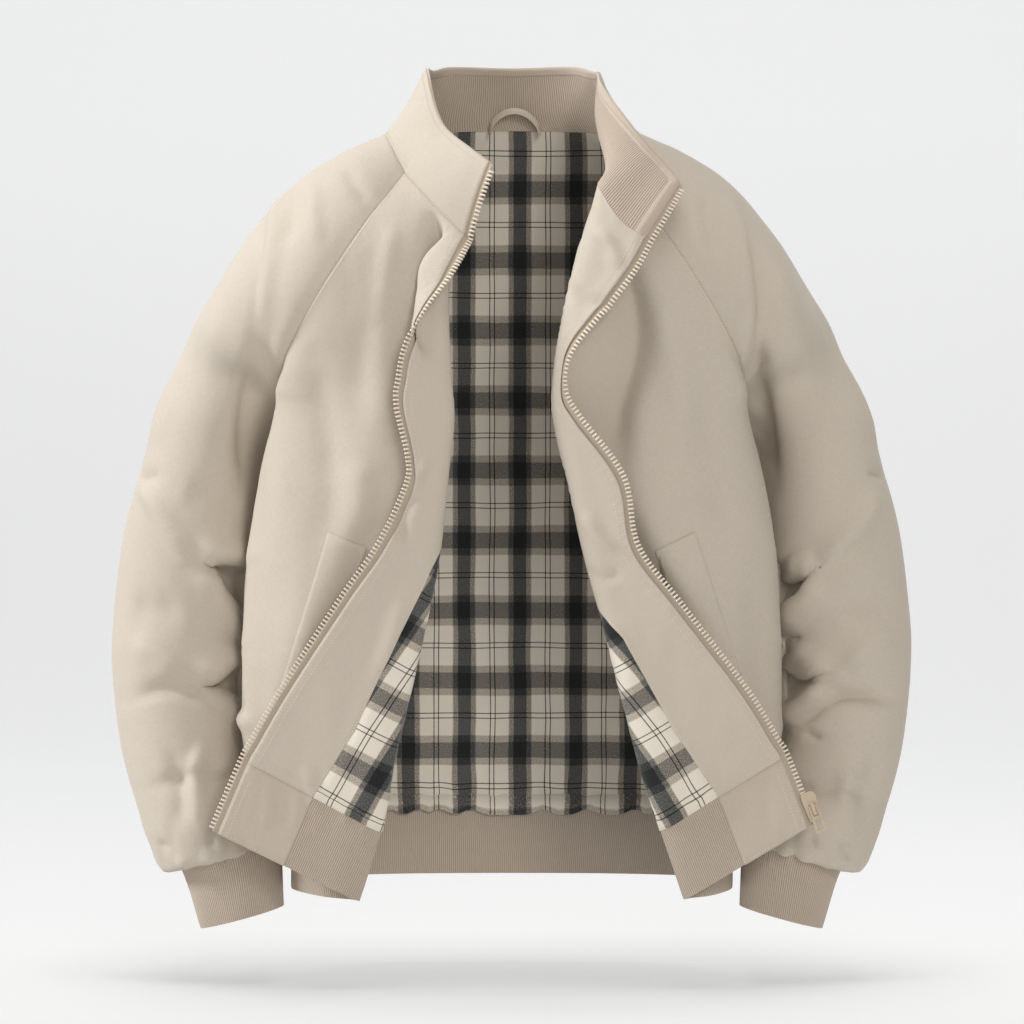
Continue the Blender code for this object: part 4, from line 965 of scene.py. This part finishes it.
def knit(name, tone, groove, pitch):
    """Rib knit: columns of small slanted loops, with painted shade in the grooves between the ribs (groove is the shade
    colour).
    """
    m = Material(name, 0.9, 0.2)
    split = m.node("ShaderNodeSeparateXYZ", (), Vector=m.flat)
    turn = 2 * math.pi / (pitch / 1000)
    across = m.math("COSINE", m.math("MULTIPLY", split.outputs[0], turn))
    down = m.math("MULTIPLY", split.outputs[1], 2 * math.pi / LOOP_LENGTH)
    loops = m.math("SINE", m.math("ADD", down, m.math("MULTIPLY", across, 1.2)))
    fuzz = m.noise(m.space, 900.0, 2.0)
    # painted shade: the colour turns to the groove colour in the grooves between the ribs, where shade falls
    deep = m.step(across, -0.9, 0.1)
    value = m.math("ADD", m.math("MULTIPLY", deep, 0.75), m.math("MULTIPLY", fuzz, 0.3), clamp=True)
    height = m.math("ADD", m.math("MULTIPLY", loops, 0.25), m.math("MULTIPLY", fuzz, 0.6))
    m.bump(height, 0.0003, 0.6)
    return m.colour(m.mix(value, groove, tone))


WARP = (0.0533, 0.0076, 0.0063, 0.0045, 0.0022)  # repeat, centre, half core, margin, half distance of the double line
WEFT = (0.0666, 0.0450, 0.0078, 0.0064, 0.0023)


def plaid(name):
    """Brushed check: dark stripes with softer margins and thin double lines both ways, mixed thread by thread."""
    m = Material(name, 0.92, 0.25)
    split = m.node("ShaderNodeSeparateXYZ", (), Vector=m.flat)
    wobble = m.math("MULTIPLY", m.math("SUBTRACT", m.noise(m.flat, 16.0, 1.0), 0.5), 0.003)

    def stripes(axis, sizes, core, side, thread):
        repeat, centre, half, margin, double = sizes
        place = m.math("ADD", m.math("SUBTRACT", split.outputs[axis], centre), wobble)
        gap = m.math("PINGPONG", m.math("ADD", place, repeat * 40), repeat / 2)
        dark = m.step(gap, half - 0.0007, half + 0.0007, core, 0.0)
        soft = m.step(gap, half + margin - 0.0009, half + margin + 0.0009, side, 0.0)
        middle = m.math("SUBTRACT", repeat / 2, gap)
        line = m.math("ABSOLUTE", m.math("SUBTRACT", middle, double))
        thin = m.step(line, 0.00025, 0.0007, thread, 0.0)
        return m.math("MAXIMUM", m.math("MAXIMUM", dark, soft), thin)

    warp = stripes(0, WARP, 0.64, 0.31, 0.56)
    weft = stripes(1, WEFT, 0.44, 0.22, 0.50)
    up, across = m.threads(2200, 2200, 3.0)
    fuzz = m.noise(m.flat, 1500.0, 2.0)
    dyed = m.math("ADD", warp, weft)
    speck = m.math("SUBTRACT", m.math("ADD", up, m.math("MULTIPLY", fuzz, 0.6)), m.math("ADD", across, 0.3))
    amount = m.step(dyed, 0.05, 0.5, 0.14, 0.80)
    depth = m.math("ADD", dyed, m.math("MULTIPLY", speck, amount), clamp=True)
    m.bump(m.math("ADD", fuzz, m.math("MULTIPLY", up, 0.6)), 0.0004, 0.5)
    return m.colour(m.ramp(depth, (
        (0.0, linear(222, 213, 199)), (0.13, linear(200, 190, 175)), (0.33, linear(130, 120, 108)),
        (0.48, linear(104, 103, 98)), (0.70, linear(64, 66, 66)), (0.95, linear(26, 27, 27)),
    )))


TAPE_RIB = 0.0009  # pitch of the tape's weave, in metres


def tape_cloth(name, tone):
    m = Material(name, 0.85, 0.1)
    split = m.node("ShaderNodeSeparateXYZ", (), Vector=m.scaled(m.flat, 1.0, 2 * math.pi / TAPE_RIB))
    rib = m.math("SINE", split.outputs[1])
    fuzz = m.noise(m.flat, 1500.0, 2.0)
    value = m.math("ADD", m.math("MULTIPLY", rib, 0.2), m.math("MULTIPLY", fuzz, 0.8), clamp=True)
    m.bump(value, 0.0003, 0.5)
    return m.colour(m.mix(value, tuple(c * 0.78 for c in tone[:3]) + (1.0,), tone))


def moulded(name, tone, roughness, metallic=0.0):
    """Smooth moulded plastic or satin painted metal, with faint flow marks and a painted highlight on its sharp edges.
    """
    m = Material(name, roughness, 0.0, metallic, 0.15)
    marks = m.noise(m.space, 420.0, 3.0)
    # painted highlight: convex edges, found by pointiness, are made lighter in colour
    edge = m.node("ShaderNodeNewGeometry").outputs["Pointiness"]
    painted_edge_highlight = m.step(edge, 0.50, 0.58)
    shade = m.mix(marks, tuple(c * 0.84 for c in tone[:3]) + (1.0,), tone)
    m.bump(marks, 0.0002, 0.25)
    highlight_tone = tuple(min(1.0, c * 1.18) for c in tone[:3]) + (1.0,)
    return m.colour(m.mix(m.math("MULTIPLY", painted_edge_highlight, 0.6), shade, highlight_tone))


def thread_material(name, tone):
    m = Material(name, 0.7, 0.1)
    twist = m.noise(m.space, 1800.0, 1.0)
    m.bump(twist, 0.0002, 0.4)
    return m.colour(m.mix(twist, tuple(c * 0.8 for c in tone[:3]) + (1.0,), tone))


BEIGE = linear(195, 184, 169)
FACING_BEIGE = linear(196, 185, 170)
# The second colour of each knit is painted shade for the grooves between its ribs.
RIB_TONE, RIB_GROOVE_SHADE = linear(192, 177, 161), linear(150, 134, 118)
LOOKS = {
    "shell": cotton("shell_cotton", BEIGE),
    "front": cotton("front_cotton", BEIGE, puckered=True),
    "facing": cotton("facing_cotton", FACING_BEIGE, 0.9, puckered=True),
    "trim": cotton("trim_cotton", linear(192, 179, 163), 0.88),
    "plaid": plaid("plaid_lining"),
    "rib_collar": knit("rib_collar", RIB_TONE, RIB_GROOVE_SHADE, 2.2),
    "rib_band": knit("rib_band", linear(190, 176, 161), linear(150, 135, 119), 1.9),
    "rib_edge": knit("rib_edge", linear(192, 178, 162), linear(168, 152, 136), 1.3),
    "tape": tape_cloth("zip_tape", linear(184, 169, 150)),
    "teeth": moulded("zip_teeth", linear(228, 215, 196), 0.42),
    "metal": moulded("zip_metal", linear(176, 160, 138), 0.38, 0.35),
    "thread": thread_material("stitch_thread", linear(222, 211, 196)),
    "thread_dark": thread_material("stitch_thread_dark", linear(176, 162, 144)),
}


def finish(body, look, *nodes, on="jacket"):
    """Gives a piece its material, slot and body, and hides the CAD nodes it stands for."""
    body.data.materials.clear()
    body.data.materials.append(LOOKS[look])
    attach(body, on)
    if nodes:
        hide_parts(*nodes)
    return body


# ---------------------------------------------------------------- small parts
def ribbed(name, grid, normals, layer, pitch, depth, per_rib=4):
    """A closed knitted band over a grid. Each rib has the same share of every row."""
    total = np.linalg.norm(np.diff(grid[len(grid) // 2], axis=0), axis=1).sum()
    ribs = int(round(total / pitch))
    count = ribs * per_rib + 1
    out, turned = [], []
    for row, normal in zip(grid, normals):
        lengths = np.concatenate([[0], np.cumsum(np.linalg.norm(np.diff(row, axis=0), axis=1))])
        at = np.linspace(0, lengths[-1], count)
        out.append(np.stack([np.interp(at, lengths, row[:, c]) for c in range(3)], 1))
        turned.append(np.stack([np.interp(at, lengths, normal[:, c]) for c in range(3)], 1))
    points, normals = np.array(out), np.array(turned)
    normals /= np.linalg.norm(normals, axis=2)[..., None]
    rib = np.abs(np.cos(np.pi * np.arange(count) / per_rib))
    groove = depth * (np.sqrt(rib) - 1)
    high = points + normals * (layer[1] + groove)[None, :, None]
    low = points + normals * (layer[0] - groove)[None, :, None]
    rows = len(points)
    index = np.arange(rows * count).reshape(rows, count)
    cells = grid_cells(index, True)
    turns = rim_of(cells)
    size = rows * count
    sides = np.stack([turns[:, 1] + size, turns[:, 0] + size, turns[:, 0], turns[:, 1]], 1)
    faces = np.vstack([cells + size, cells[:, ::-1], sides])
    across = np.linspace(0, ribs * pitch, count)
    down = np.concatenate([[0], np.cumsum(np.linalg.norm(np.diff(points, axis=0), axis=2).mean(axis=1))])
    flat = np.stack(np.broadcast_arrays(across[None, :], down[:, None]), 2).reshape(-1, 2)
    flat = np.vstack([flat, flat])
    return make(name, np.vstack([low.reshape(-1, 3), high.reshape(-1, 3)]), faces, flat[faces].reshape(-1, 2))


def paced(line, step, start=0.0, stop=0.0):
    """Points and directions at an even step along a line."""
    line = np.asarray(line, float)
    lengths = knots_of(line, 1.0)
    count = max(1, int((lengths[-1] - start - stop) / step))
    at = start + (np.arange(count) + 0.5) * step
    points = np.stack([np.interp(at, lengths, line[:, c]) for c in range(3)], 1)
    ahead = np.stack([np.interp(at + 0.4, lengths, line[:, c]) for c in range(3)], 1) - np.stack(
        [np.interp(at - 0.4, lengths, line[:, c]) for c in range(3)], 1
    )
    return points, ahead / np.maximum(np.linalg.norm(ahead, axis=1), 1e-9)[:, None], at, lengths


STITCH = ((-0.5, 0.3, -0.30), (0.0, 1.0, 0.05), (0.5, 0.3, -0.30))  # place along it, size, height


def stitches(name, lines, look="thread", pitch=3.0, length=2.1, wide=0.36):
    """Stitch dashes sewn along lines given as (points, normals), all in one mesh."""
    ring = np.array([(1, 0), (0, 1), (-1, 0), (0, -1)])
    points, faces, count = [], [], 0
    for line, normals in lines:
        centres, ahead, at, lengths = paced(line, pitch)
        up = np.stack([np.interp(at, lengths, np.asarray(normals)[:, c]) for c in range(3)], 1)
        side = np.cross(ahead, up)
        side /= np.maximum(np.linalg.norm(side, axis=1), 1e-9)[:, None]
        up = np.cross(side, ahead)
        for c, a, s, u in zip(centres, ahead, side, up):
            for along_it, size, sink in STITCH:
                for p, q in ring:
                    points.append(c + a * along_it * length + s * p * wide * size + u * (q * wide * 0.7 * size + sink))
            for k in range(2):
                for j in range(4):
                    a0, a1 = count + 4 * k + j, count + 4 * k + (j + 1) % 4
                    faces.append((a0, a1, a1 + 4, a0 + 4))
            faces.append(tuple(count + j for j in (3, 2, 1, 0)))
            faces.append(tuple(count + 8 + j for j in range(4)))
            count += 12
    return finish(make(name, np.array(points), np.array(faces)), look)


TOOTH = (
    # half width along the zip, half thickness, at each station across it from the tape outwards
    (-2.5, 0.75, 0.95), (-1.9, 0.95, 1.30), (0.3, 0.98, 1.32), (0.9, 0.78, 1.15), (1.5, 0.98, 1.25), (2.3, 0.9, 1.1), (2.6, 0.6, 0.75),
)
TOOTH_PITCH = 3.7
TOOTH_BASE = ((0, 3, 2, 1), (0, 7, 4, 3), (7, 6, 5, 4))  # corners of the quads that close its two ends
TOOTH_TIP = ((0, 1, 2, 3), (0, 3, 4, 7), (7, 4, 5, 6))


def teeth(name, line, across, normals, node):
    """One row of moulded teeth, each a waisted peg gripping the tape's edge."""
    centres, ahead, at, lengths = paced(line, TOOTH_PITCH, 1.0, 1.0)
    ring = np.array([(1, 0.45), (0.55, 1), (-0.55, 1), (-1, 0.45), (-1, -0.45), (-0.55, -1), (0.55, -1), (1, -0.45)])
    points, faces, count = [], [], 0
    for k, c in enumerate(centres):
        out = np.array([np.interp(at[k], lengths, across[:, j]) for j in range(3)])
        up = np.array([np.interp(at[k], lengths, normals[:, j]) for j in range(3)])
        a = ahead[k]
        out = out - a * a.dot(out)
        out /= np.linalg.norm(out)
        up = np.cross(a, out)
        for u, half, thick in TOOTH:
            for p, q in ring:
                points.append(c + out * u + a * p * half + up * q * thick)
        stations = len(TOOTH)
        for s in range(stations - 1):
            for j in range(8):
                a0, a1 = count + 8 * s + j, count + 8 * s + (j + 1) % 8
                faces.append((a0, a1, a1 + 8, a0 + 8))
        last = count + 8 * (stations - 1)
        for first, quads in ((count, TOOTH_BASE), (last, TOOTH_TIP)):
            faces += [tuple(first + j for j in quad) for quad in quads]
        count += 8 * stations
    return finish(make(name, np.array(points), np.array(faces)), "teeth", node)


def shifted(line, other, distance, normals, height):
    """The line moved by a distance towards another line of the same cloth, and lifted along the normals."""
    step = other - line
    step /= np.maximum(np.linalg.norm(step, axis=1), 1e-9)[:, None]
    return line + step * distance + normals * height


# ---------------------------------------------------------------- build
surface, ROWS, SLEEVE_ROWS, trims, collar_grid, moved = build_surface()
P, N = surface.points, surface.normals
HEM = int(np.argmin(np.abs(ROWS - HEM_ROW)))
CUFF = int(np.argmin(np.abs(SLEEVE_ROWS - CUFF_ROW)))
PANEL = slice(HEM, None)
FACE = slice(BODY_COLUMNS, None)


def cloth(name, look, node, patch, rows, columns, layer, inset=SEAM_GAP / 2, points=P):
    cells, uv = surface.cut(patch, rows, columns)
    return finish(slab(name, points, N, cells, uv, layer, inset), look, node)


PINCHES = (-150, -118, -89, -70, -39, 30, 72, 118, 146)  # x between the lobes of the lining over the back rib


def pouched():
    """The surface with the back lining gathered: it bags out over the rib in uneven lobes."""
    x, y, z = P.T
    near = np.min([np.abs(x - p) for p in PINCHES], axis=0)
    lobe = 1 - np.exp(-((near / 9) ** 2)) * 0.9
    t = np.clip((z + 634) / 46, 0, 1)
    out = 8.0 * np.sin(np.pi * np.sqrt(t)) * (0.35 + 0.65 * lobe)
    drop = 7.0 * (1 - t) ** 3 * lobe
    out = out + 2.5 * (1 - t) ** 3
    out[y < 40] = drop[y < 40] = 0
    fade = smooth((y - 40) / 40)
    return P - N * (out * fade)[:, None] - np.array([0, 0, 1.0]) * (drop * fade)[:, None]


pieces = {}
for word in ("right", "left"):
    front = f"front_{word}"
    whole = slice(None)
    pieces[f"panel_{word}"] = cloth(f"front_{word}_shell", "front", f"front_panel_{word}", front, PANEL, whole, SHELL)
    pieces[f"lining_{word}"] = cloth(
        f"front_{word}_lining", "plaid", f"lining_front_{word}", front, PANEL, slice(None, BODY_COLUMNS + 1), LINING, 0.15
    )
    pieces[f"facing_{word}"] = cloth(f"front_{word}_facing", "facing", f"facing_{word}", front, PANEL, FACE, LINING, 0.25)
    pieces[f"tab_{word}"] = cloth(f"hem_{word}_tab", "trim", f"hem_tab_{word}", front, slice(None, HEM + 1), FACE, RIB_BAND)
    pieces[f"sleeve_{word}"] = cloth(
        f"sleeve_{word}_shell", "shell", f"sleeve_{word}", f"sleeve_{word}", slice(None, CUFF + 1), whole, SHELL
    )
pieces["back"] = cloth("back_shell", "shell", "back_panel", "back", PANEL, slice(None), SHELL)
pieces["lining_back"] = cloth("back_lining", "plaid", "lining_back", "back", PANEL, slice(None), LINING, 0.15, pouched())

# Knitted bands: hem round the body, both cuffs and the inside of the collar.
hem_index = np.hstack([
    surface.grids["front_right"][0][: HEM + 1, : BODY_COLUMNS + 1][:, ::-1],
    surface.grids["back"][0][: HEM + 1, 1:],
    surface.grids["front_left"][0][: HEM + 1, 1 : BODY_COLUMNS + 1],
])
pieces["hem_rib"] = finish(ribbed("hem_rib_knit", P[hem_index], N[hem_index], RIB_BAND, 1.9, 0.5), "rib_band", "hem_rib")
for word, side in (("right", -1), ("left", 1)):
    grid = surface.grids[f"sleeve_{word}"][0][CUFF:]
    if side > 0:
        grid = grid[:, ::-1]
    pieces[f"cuff_{word}"] = finish(
        ribbed(f"cuff_{word}_knit", P[grid], N[grid], RIB_BAND, 1.9, 0.55), "rib_band", f"cuff_{word}"
    )

collar_cells, collar_uv = surface.cut("collar")
pieces["collar"] = finish(slab("collar_shell", P, N, collar_cells, collar_uv, SHELL), "shell", "collar_outer")
collar_index = surface.grids["collar"][0]
gaps = knots_of(P[collar_index[0]], 1.0)
inside = np.flatnonzero((gaps > COLLAR_EDGE) & (gaps < gaps[-1] - COLLAR_EDGE))
first_in, last_in = inside[0], inside[-1]
top_in = int(round(0.88 * (COLLAR_ROWS - 1)))
rib_grid = collar_index[: top_in + 1, first_in : last_in + 1]
pieces["collar_rib"] = finish(
    ribbed("collar_rib_knit", P[rib_grid], N[rib_grid], COLLAR_RIB, 2.2, 0.45), "rib_collar", "collar_inner"
)
parts = [
    surface.cut("collar", slice(top_in, None), slice(None)),
    surface.cut("collar", slice(None, top_in + 1), slice(None, first_in + 1)),
    surface.cut("collar", slice(None, top_in + 1), slice(last_in, None)),
]
strip_cells, strip_uv = (np.vstack([part[k] for part in parts]) for k in (0, 1))
pieces["collar_strip"] = finish(
    slab("collar_edge_binding", P, N, strip_cells, strip_uv, EDGE_STRIP, 0.0), "rib_edge", "collar_edge_strip"
)

# Zip: tape and teeth, from the hem edge to the top of the collar.
zip_lines = {}
for word, side in (("right", -1), ("left", 1)):
    ends = collar_grid[1:, :4][:, ::-1] if side < 0 else collar_grid[1:, -4:]
    lines = follow_creases(np.vstack([trims[word], ends]), surface, moved)
    down = np.gradient(lines.mean(axis=1), axis=0)
    across = lines[:, 3] - lines[:, 0]
    across /= np.linalg.norm(across, axis=1)[:, None]
    normal = np.cross(down, across) * side
    normal /= np.linalg.norm(normal, axis=1)[:, None]
    zip_lines[word] = (lines, across, normal)
    wide = np.stack([lines[:, 0] * (1 - t) + lines[:, 1] * t for t in np.linspace(0, 1, 5)], 1)
    index = np.arange(wide.shape[0] * 5).reshape(-1, 5)
    cells = grid_cells(index, side > 0)
    flat = grid_cells(flat_places(wide, False), side > 0)
    many = np.repeat(normal[:, None], 5, axis=1).reshape(-1, 3)
    pieces[f"tape_{word}"] = finish(
        slab(f"zip_{word}_tape", wide.reshape(-1, 3), many, cells, flat, TAPE, 0), "tape", f"zip_tape_{word}"
    )
    middle = (lines[:, 2] + lines[:, 3]) / 2
    pieces[f"teeth_{word}"] = teeth(f"zip_{word}_teeth", middle, across, normal, f"zip_teeth_{word}")

# ---------------------------------------------------------------- pockets
WELT_GRID = (12, 30)


def welt(word, corners):
    """A pocket welt lying on the front, a little puffed in its middle, and the line of its stitching."""
    cells, _ = surface.cut(f"front_{word}", PANEL, slice(None, BODY_COLUMNS + 1))
    cells = cells[(N[cells].mean(axis=1)[:, 1] < -0.15) & (P[cells].mean(axis=1)[:, 1] > -134)]
    tree = BVHTree.FromPolygons([tuple(p) for p in P.tolist()], cells.tolist())
    outer_top, inner_top, inner_low, outer_low = (np.array(c, float) for c in corners)

    def on_front(u, v):
        top = outer_top + (inner_top - outer_top) * u
        low = outer_low + (inner_low - outer_low) * u
        x, z = top + (low - top) * v
        place, normal, _, _ = tree.ray_cast(Vector((x, -260, z)), Vector((0, 1, 0)))
        if place is None:
            place, normal, _, _ = tree.find_nearest(Vector((x, -125, z)))
        normal = normal if normal.y < 0 else -normal
        return np.array(place), np.array(normal)

    across, down = WELT_GRID
    grid = [[on_front(u / across, v / down) for u in range(across + 1)] for v in range(down + 1)]
    points = np.array([[g[0] for g in row] for row in grid])
    normals = np.array([[g[1] for g in row] for row in grid])
    u, v = np.meshgrid(np.linspace(0, 1, across + 1), np.linspace(0, 1, down + 1))
    near = np.minimum(np.minimum(u, 1 - u) * 37, np.minimum(v, 1 - v) * 145)
    puff = 0.5 * smooth(near / 6)
    points = points + normals * puff[..., None]
    index = np.arange(points.shape[0] * points.shape[1]).reshape(points.shape[:2])
    flip = np.cross(points[1, 0] - points[0, 0], points[0, 1] - points[0, 0])[1] < 0
    cells = grid_cells(index, bool(flip))
    flat = grid_cells(flat_places(points, False), bool(flip))
    body = slab(f"pocket_{word}_welt", points.reshape(-1, 3), normals.reshape(-1, 3), cells, flat, WELT, 0)
    finish(body, "shell", f"pocket_welt_{word}")
    lines = []
    for (u0, v0), (u1, v1) in (((0.07, 0.018), (0.93, 0.018)), ((0.93, 0.018), (0.93, 0.982)), ((0.93, 0.982), (0.07, 0.982))):
        line = [on_front(u0 + (u1 - u0) * t, v0 + (v1 - v0) * t) for t in np.linspace(0, 1, 40)]
        at = np.array([g[0] for g in line])
        up = np.array([g[1] for g in line])
        lines.append((at + up * (WELT[1] + 0.25), up))
    return body, lines


welt_lines = []
for word, corners in (("right", WELT_RIGHT), ("left", WELT_LEFT)):
    pieces[f"welt_{word}"], lines = welt(word, corners)
    welt_lines += lines
pieces["welt_stitches"] = stitches("pocket_stitches", welt_lines)

# ---------------------------------------------------------------- hanger loop


def ribbon(name, path, width, thick, up):
    """A folded strip of cloth along a path, its width across `up`, thicker in its middle."""
    line, lengths = dense(path, 200)
    stations = along(line, lengths, np.linspace(0, lengths[-1], 60))
    ahead = np.gradient(stations, axis=0)
    ahead /= np.linalg.norm(ahead, axis=1)[:, None]
    side = np.cross(ahead, np.array(up, float))
    side /= np.linalg.norm(side, axis=1)[:, None]
    wide = np.cross(side, ahead)
    ring = [(math.cos(a), math.sin(a)) for a in np.arange(16) * math.pi / 8]
    points, flat = [], []
    for k, (p, s, w) in enumerate(zip(stations, side, wide)):
        for j, (c, d) in enumerate(ring):
            a = np.sign(c) * abs(c) ** 0.35
            b = np.sign(d) * abs(d) ** 0.6
            points.append(p + w * a * width / 2 + s * b * thick / 2)
            flat.append((j * 1.2, k * lengths[-1] / 59))
    faces = []
    for k in range(len(stations) - 1):
        for j in range(16):
            a, b = 16 * k + j, 16 * k + (j + 1) % 16
            faces.append((a, b, b + 16, a + 16))
    last = 16 * (len(stations) - 1)
    for j in range(1, 14, 2):
        faces.append((0, j + 2, j + 1, j))
        faces.append((last, last + j, last + j + 1, last + j + 2))
    faces = np.array(faces)
    return make(name, np.array(points), faces, np.array(flat)[faces].reshape(-1, 2))


LOOP_WIDTH, LOOP_THICK = 6.5, 1.4
pieces["loop"] = finish(
    ribbon("neck_hanger_loop", LOOP_PATH, LOOP_WIDTH, LOOP_THICK, (0.0, 0.35, 1.0)), "trim", "hanger_loop"
)

# ---------------------------------------------------------------- slider and pull: CAD shapes, rounded
for name in ("zip_slider", "zip_pull"):
    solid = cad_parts[name]
    solid.data.materials.clear()
    solid.data.materials.append(LOOKS["metal"])
    for polygon in solid.data.polygons:
        polygon.material_index = 0
    bevel = solid.modifiers.new("edges", "BEVEL")
    bevel.width, bevel.segments, bevel.limit_method = 0.00035, 3, "ANGLE"
    bevel.angle_limit = math.radians(30)

# ---------------------------------------------------------------- topstitching


def grid_line(patch, rows, columns, beside_rows, beside_columns, distance, height):
    """Stitch line inside a patch: along one of its lines, moved towards a neighbouring one."""
    grid = surface.grids[patch][0]
    line, other = grid[rows, columns], grid[beside_rows, beside_columns]
    points = shifted(P[line], P[other], distance, N[line], height)
    return points, N[line] * (1 if height > 0 else -1)


PROUD = 0.15  # of a stitch's middle over the cloth
OUT, IN = SHELL[1] + PROUD, LINING[0] - PROUD
TRIM_OUT, TRIM_IN = RIB_BAND[1] + PROUD, RIB_BAND[0] - PROUD
COLLAR_IN = COLLAR_RIB[0] - PROUD
ZIP_STITCHES, TAB_STITCHES = (1.6, 8.0), (2.0, 8.0)  # distances of the two rows beside the zip
shell_lines, facing_lines, collar_lines, tab_lines = [], [], [], []
for word in ("right", "left"):
    front = f"front_{word}"
    for distance in ZIP_STITCHES:
        shell_lines.append(grid_line(front, PANEL, -1, PANEL, -4, distance, OUT))
        facing_lines.append(grid_line(front, PANEL, -1, PANEL, -4, distance, IN))
    raglan = slice(int(np.argmin(np.abs(ROWS - UNDERARM))), None)
    shell_lines.append(grid_line(front, raglan, 0, raglan, 3, 1.9, OUT))
    back_edge, back_beside = (0, 3) if word == "right" else (-1, -4)
    shell_lines.append(grid_line("back", raglan, back_edge, raglan, back_beside, 1.9, OUT))
    facing_lines.append(grid_line(front, PANEL, BODY_COLUMNS, PANEL, BODY_COLUMNS + 3, 1.8, IN))
    tab = slice(0, HEM + 1)
    for distance in TAB_STITCHES:
        tab_lines.append(grid_line(front, tab, -1, tab, -4, distance, TRIM_OUT))
        tab_lines.append(grid_line(front, tab, -1, tab, -4, distance, TRIM_IN))
    tab_lines.append(grid_line(front, 0, FACE, 3, FACE, 2.0, TRIM_OUT))
    tab_lines.append(grid_line(front, 0, FACE, 3, FACE, 2.0, TRIM_IN))
    tab_lines.append(grid_line(front, HEM, FACE, HEM - 3, FACE, 2.2, TRIM_OUT))
    tab_lines.append(grid_line(front, tab, BODY_COLUMNS, tab, BODY_COLUMNS + 3, 2.0, TRIM_OUT))
columns = slice(8, -8)
collar_lines.append(grid_line("collar", -1, columns, -4, columns, 6.5, OUT))
collar_lines.append(grid_line("collar", -1, columns, -4, columns, 6.0, COLLAR_IN))
collar_lines.append(grid_line("collar", 0, columns, 3, columns, 2.0, OUT))
rows = slice(1, -2)
for edge, beside in ((0, 12), (-1, -13)):
    collar_lines.append(grid_line("collar", rows, edge, rows, beside, 2.2, OUT))
    collar_lines.append(grid_line("collar", rows, edge, rows, beside, 5.6, COLLAR_IN))
pieces["shell_stitches"] = stitches("shell_stitches", shell_lines)
pieces["facing_stitches"] = stitches("facing_stitches", facing_lines)
pieces["collar_stitches"] = stitches("collar_stitches", collar_lines, "thread_dark")
pieces["tab_stitches"] = stitches("tab_stitches", tab_lines)

# ---------------------------------------------------------------- stage, camera and light
FLOOR, EYE = -0.777, -0.351     # heights, in metres as all here
CAMERA_DISTANCE, SEEN_WIDTH, SENSOR = 3.5, 0.942, 36
COVE, COVE_RADIUS = 2.9, 1.2    # where the floor starts to curve up, and how
FLOOR_FRONT, WALL_TOP, HALF_WIDTH = -9.0, 7.0, 12.0
PAPER, PAPER_GLOW, GLOW_COLOUR = (0.70, 0.70, 0.696, 1), 0.40, (0.965, 0.985, 1.0, 1)
SKY, SKY_COLOUR = 0.22, (1.0, 0.965, 0.92, 1)
LAMPS = (
    # name, place, aim, size, power, colour, whether it lights the backdrop
    ("key", (-6.3, -0.8, 3.0), (0, 0, -0.3), 1.7, 480, (0.97, 0.985, 1.0), False),
    ("overhead", (0, -0.2, 3.6), (0, 0, -0.8), 2.4, 78, (1, 1, 1), True),
    ("fill", (0.8, -5.2, 0.4), (0, 0, -0.4), 2.4, 55, (1, 1, 1), True),
    ("front", (1.6, -4.6, 1.8), (0, 0, -0.4), 1.0, 56, (1.0, 0.97, 0.93), False),
)


def backdrop():
    """Pale floor that curves up into a wall, further back than a camera that goes round the jacket."""
    profile = [(FLOOR_FRONT, FLOOR), (COVE, FLOOR)]
    for turn in np.linspace(0.1, math.pi / 2, 14):
        profile.append((COVE + COVE_RADIUS * math.sin(turn), FLOOR + COVE_RADIUS - COVE_RADIUS * math.cos(turn)))
    profile.append((COVE + COVE_RADIUS, WALL_TOP))
    points = [(x, y, z) for y, z in profile for x in (-HALF_WIDTH, HALF_WIDTH)]
    mesh = bpy.data.meshes.new("backdrop")
    mesh.from_pydata(points, [], [(2 * k, 2 * k + 1, 2 * k + 3, 2 * k + 2) for k in range(len(profile) - 1)])
    mesh.shade_smooth()
    floor = bpy.data.objects.new("backdrop", mesh)
    bpy.context.scene.collection.objects.link(floor)
    paper = bpy.data.materials.new("backdrop")
    paper.use_nodes = True
    shader = paper.node_tree.nodes["Principled BSDF"]
    shader.inputs["Base Color"].default_value = PAPER
    shader.inputs["Roughness"].default_value = 1.0
    shader.inputs["Specular IOR Level"].default_value = 0.0
    shader.inputs["Emission Color"].default_value = GLOW_COLOUR
    shader.inputs["Emission Strength"].default_value = PAPER_GLOW
    mesh.materials.append(paper)
    return floor


def lamp(name, place, aim, size, power, colour):
    light = bpy.data.lights.new(name, "AREA")
    light.size, light.energy, light.color = size, power, colour
    body = bpy.data.objects.new(name, light)
    body.location = place
    body.visible_camera = False
    body.rotation_euler = (Vector(aim) - Vector(place)).to_track_quat("-Z", "Y").to_euler()
    bpy.context.scene.collection.objects.link(body)
    return body


all_but_backdrop = bpy.data.collections.new("all_but_backdrop")
all_but_backdrop.objects.link(backdrop())
all_but_backdrop.collection_objects[0].light_linking.link_state = "EXCLUDE"
for *settings, lights_backdrop in LAMPS:
    body = lamp(*settings)
    if not lights_backdrop:
        body.light_linking.receiver_collection = all_but_backdrop
world = bpy.data.worlds.new("studio")
world.use_nodes = True
sky = world.node_tree.nodes["Background"]
sky.inputs["Color"].default_value, sky.inputs["Strength"].default_value = SKY_COLOUR, SKY
bpy.context.scene.world = world
bpy.context.scene.view_settings.view_transform = "Standard"

camera = bpy.data.cameras.new("camera")
camera.lens, camera.sensor_width = SENSOR * CAMERA_DISTANCE / SEEN_WIDTH, SENSOR
eye = bpy.data.objects.new("camera", camera)
eye.location = (0, -CAMERA_DISTANCE, EYE)
eye.rotation_euler = (math.pi / 2, 0, 0)
bpy.context.scene.collection.objects.link(eye)
bpy.context.scene.camera = eye
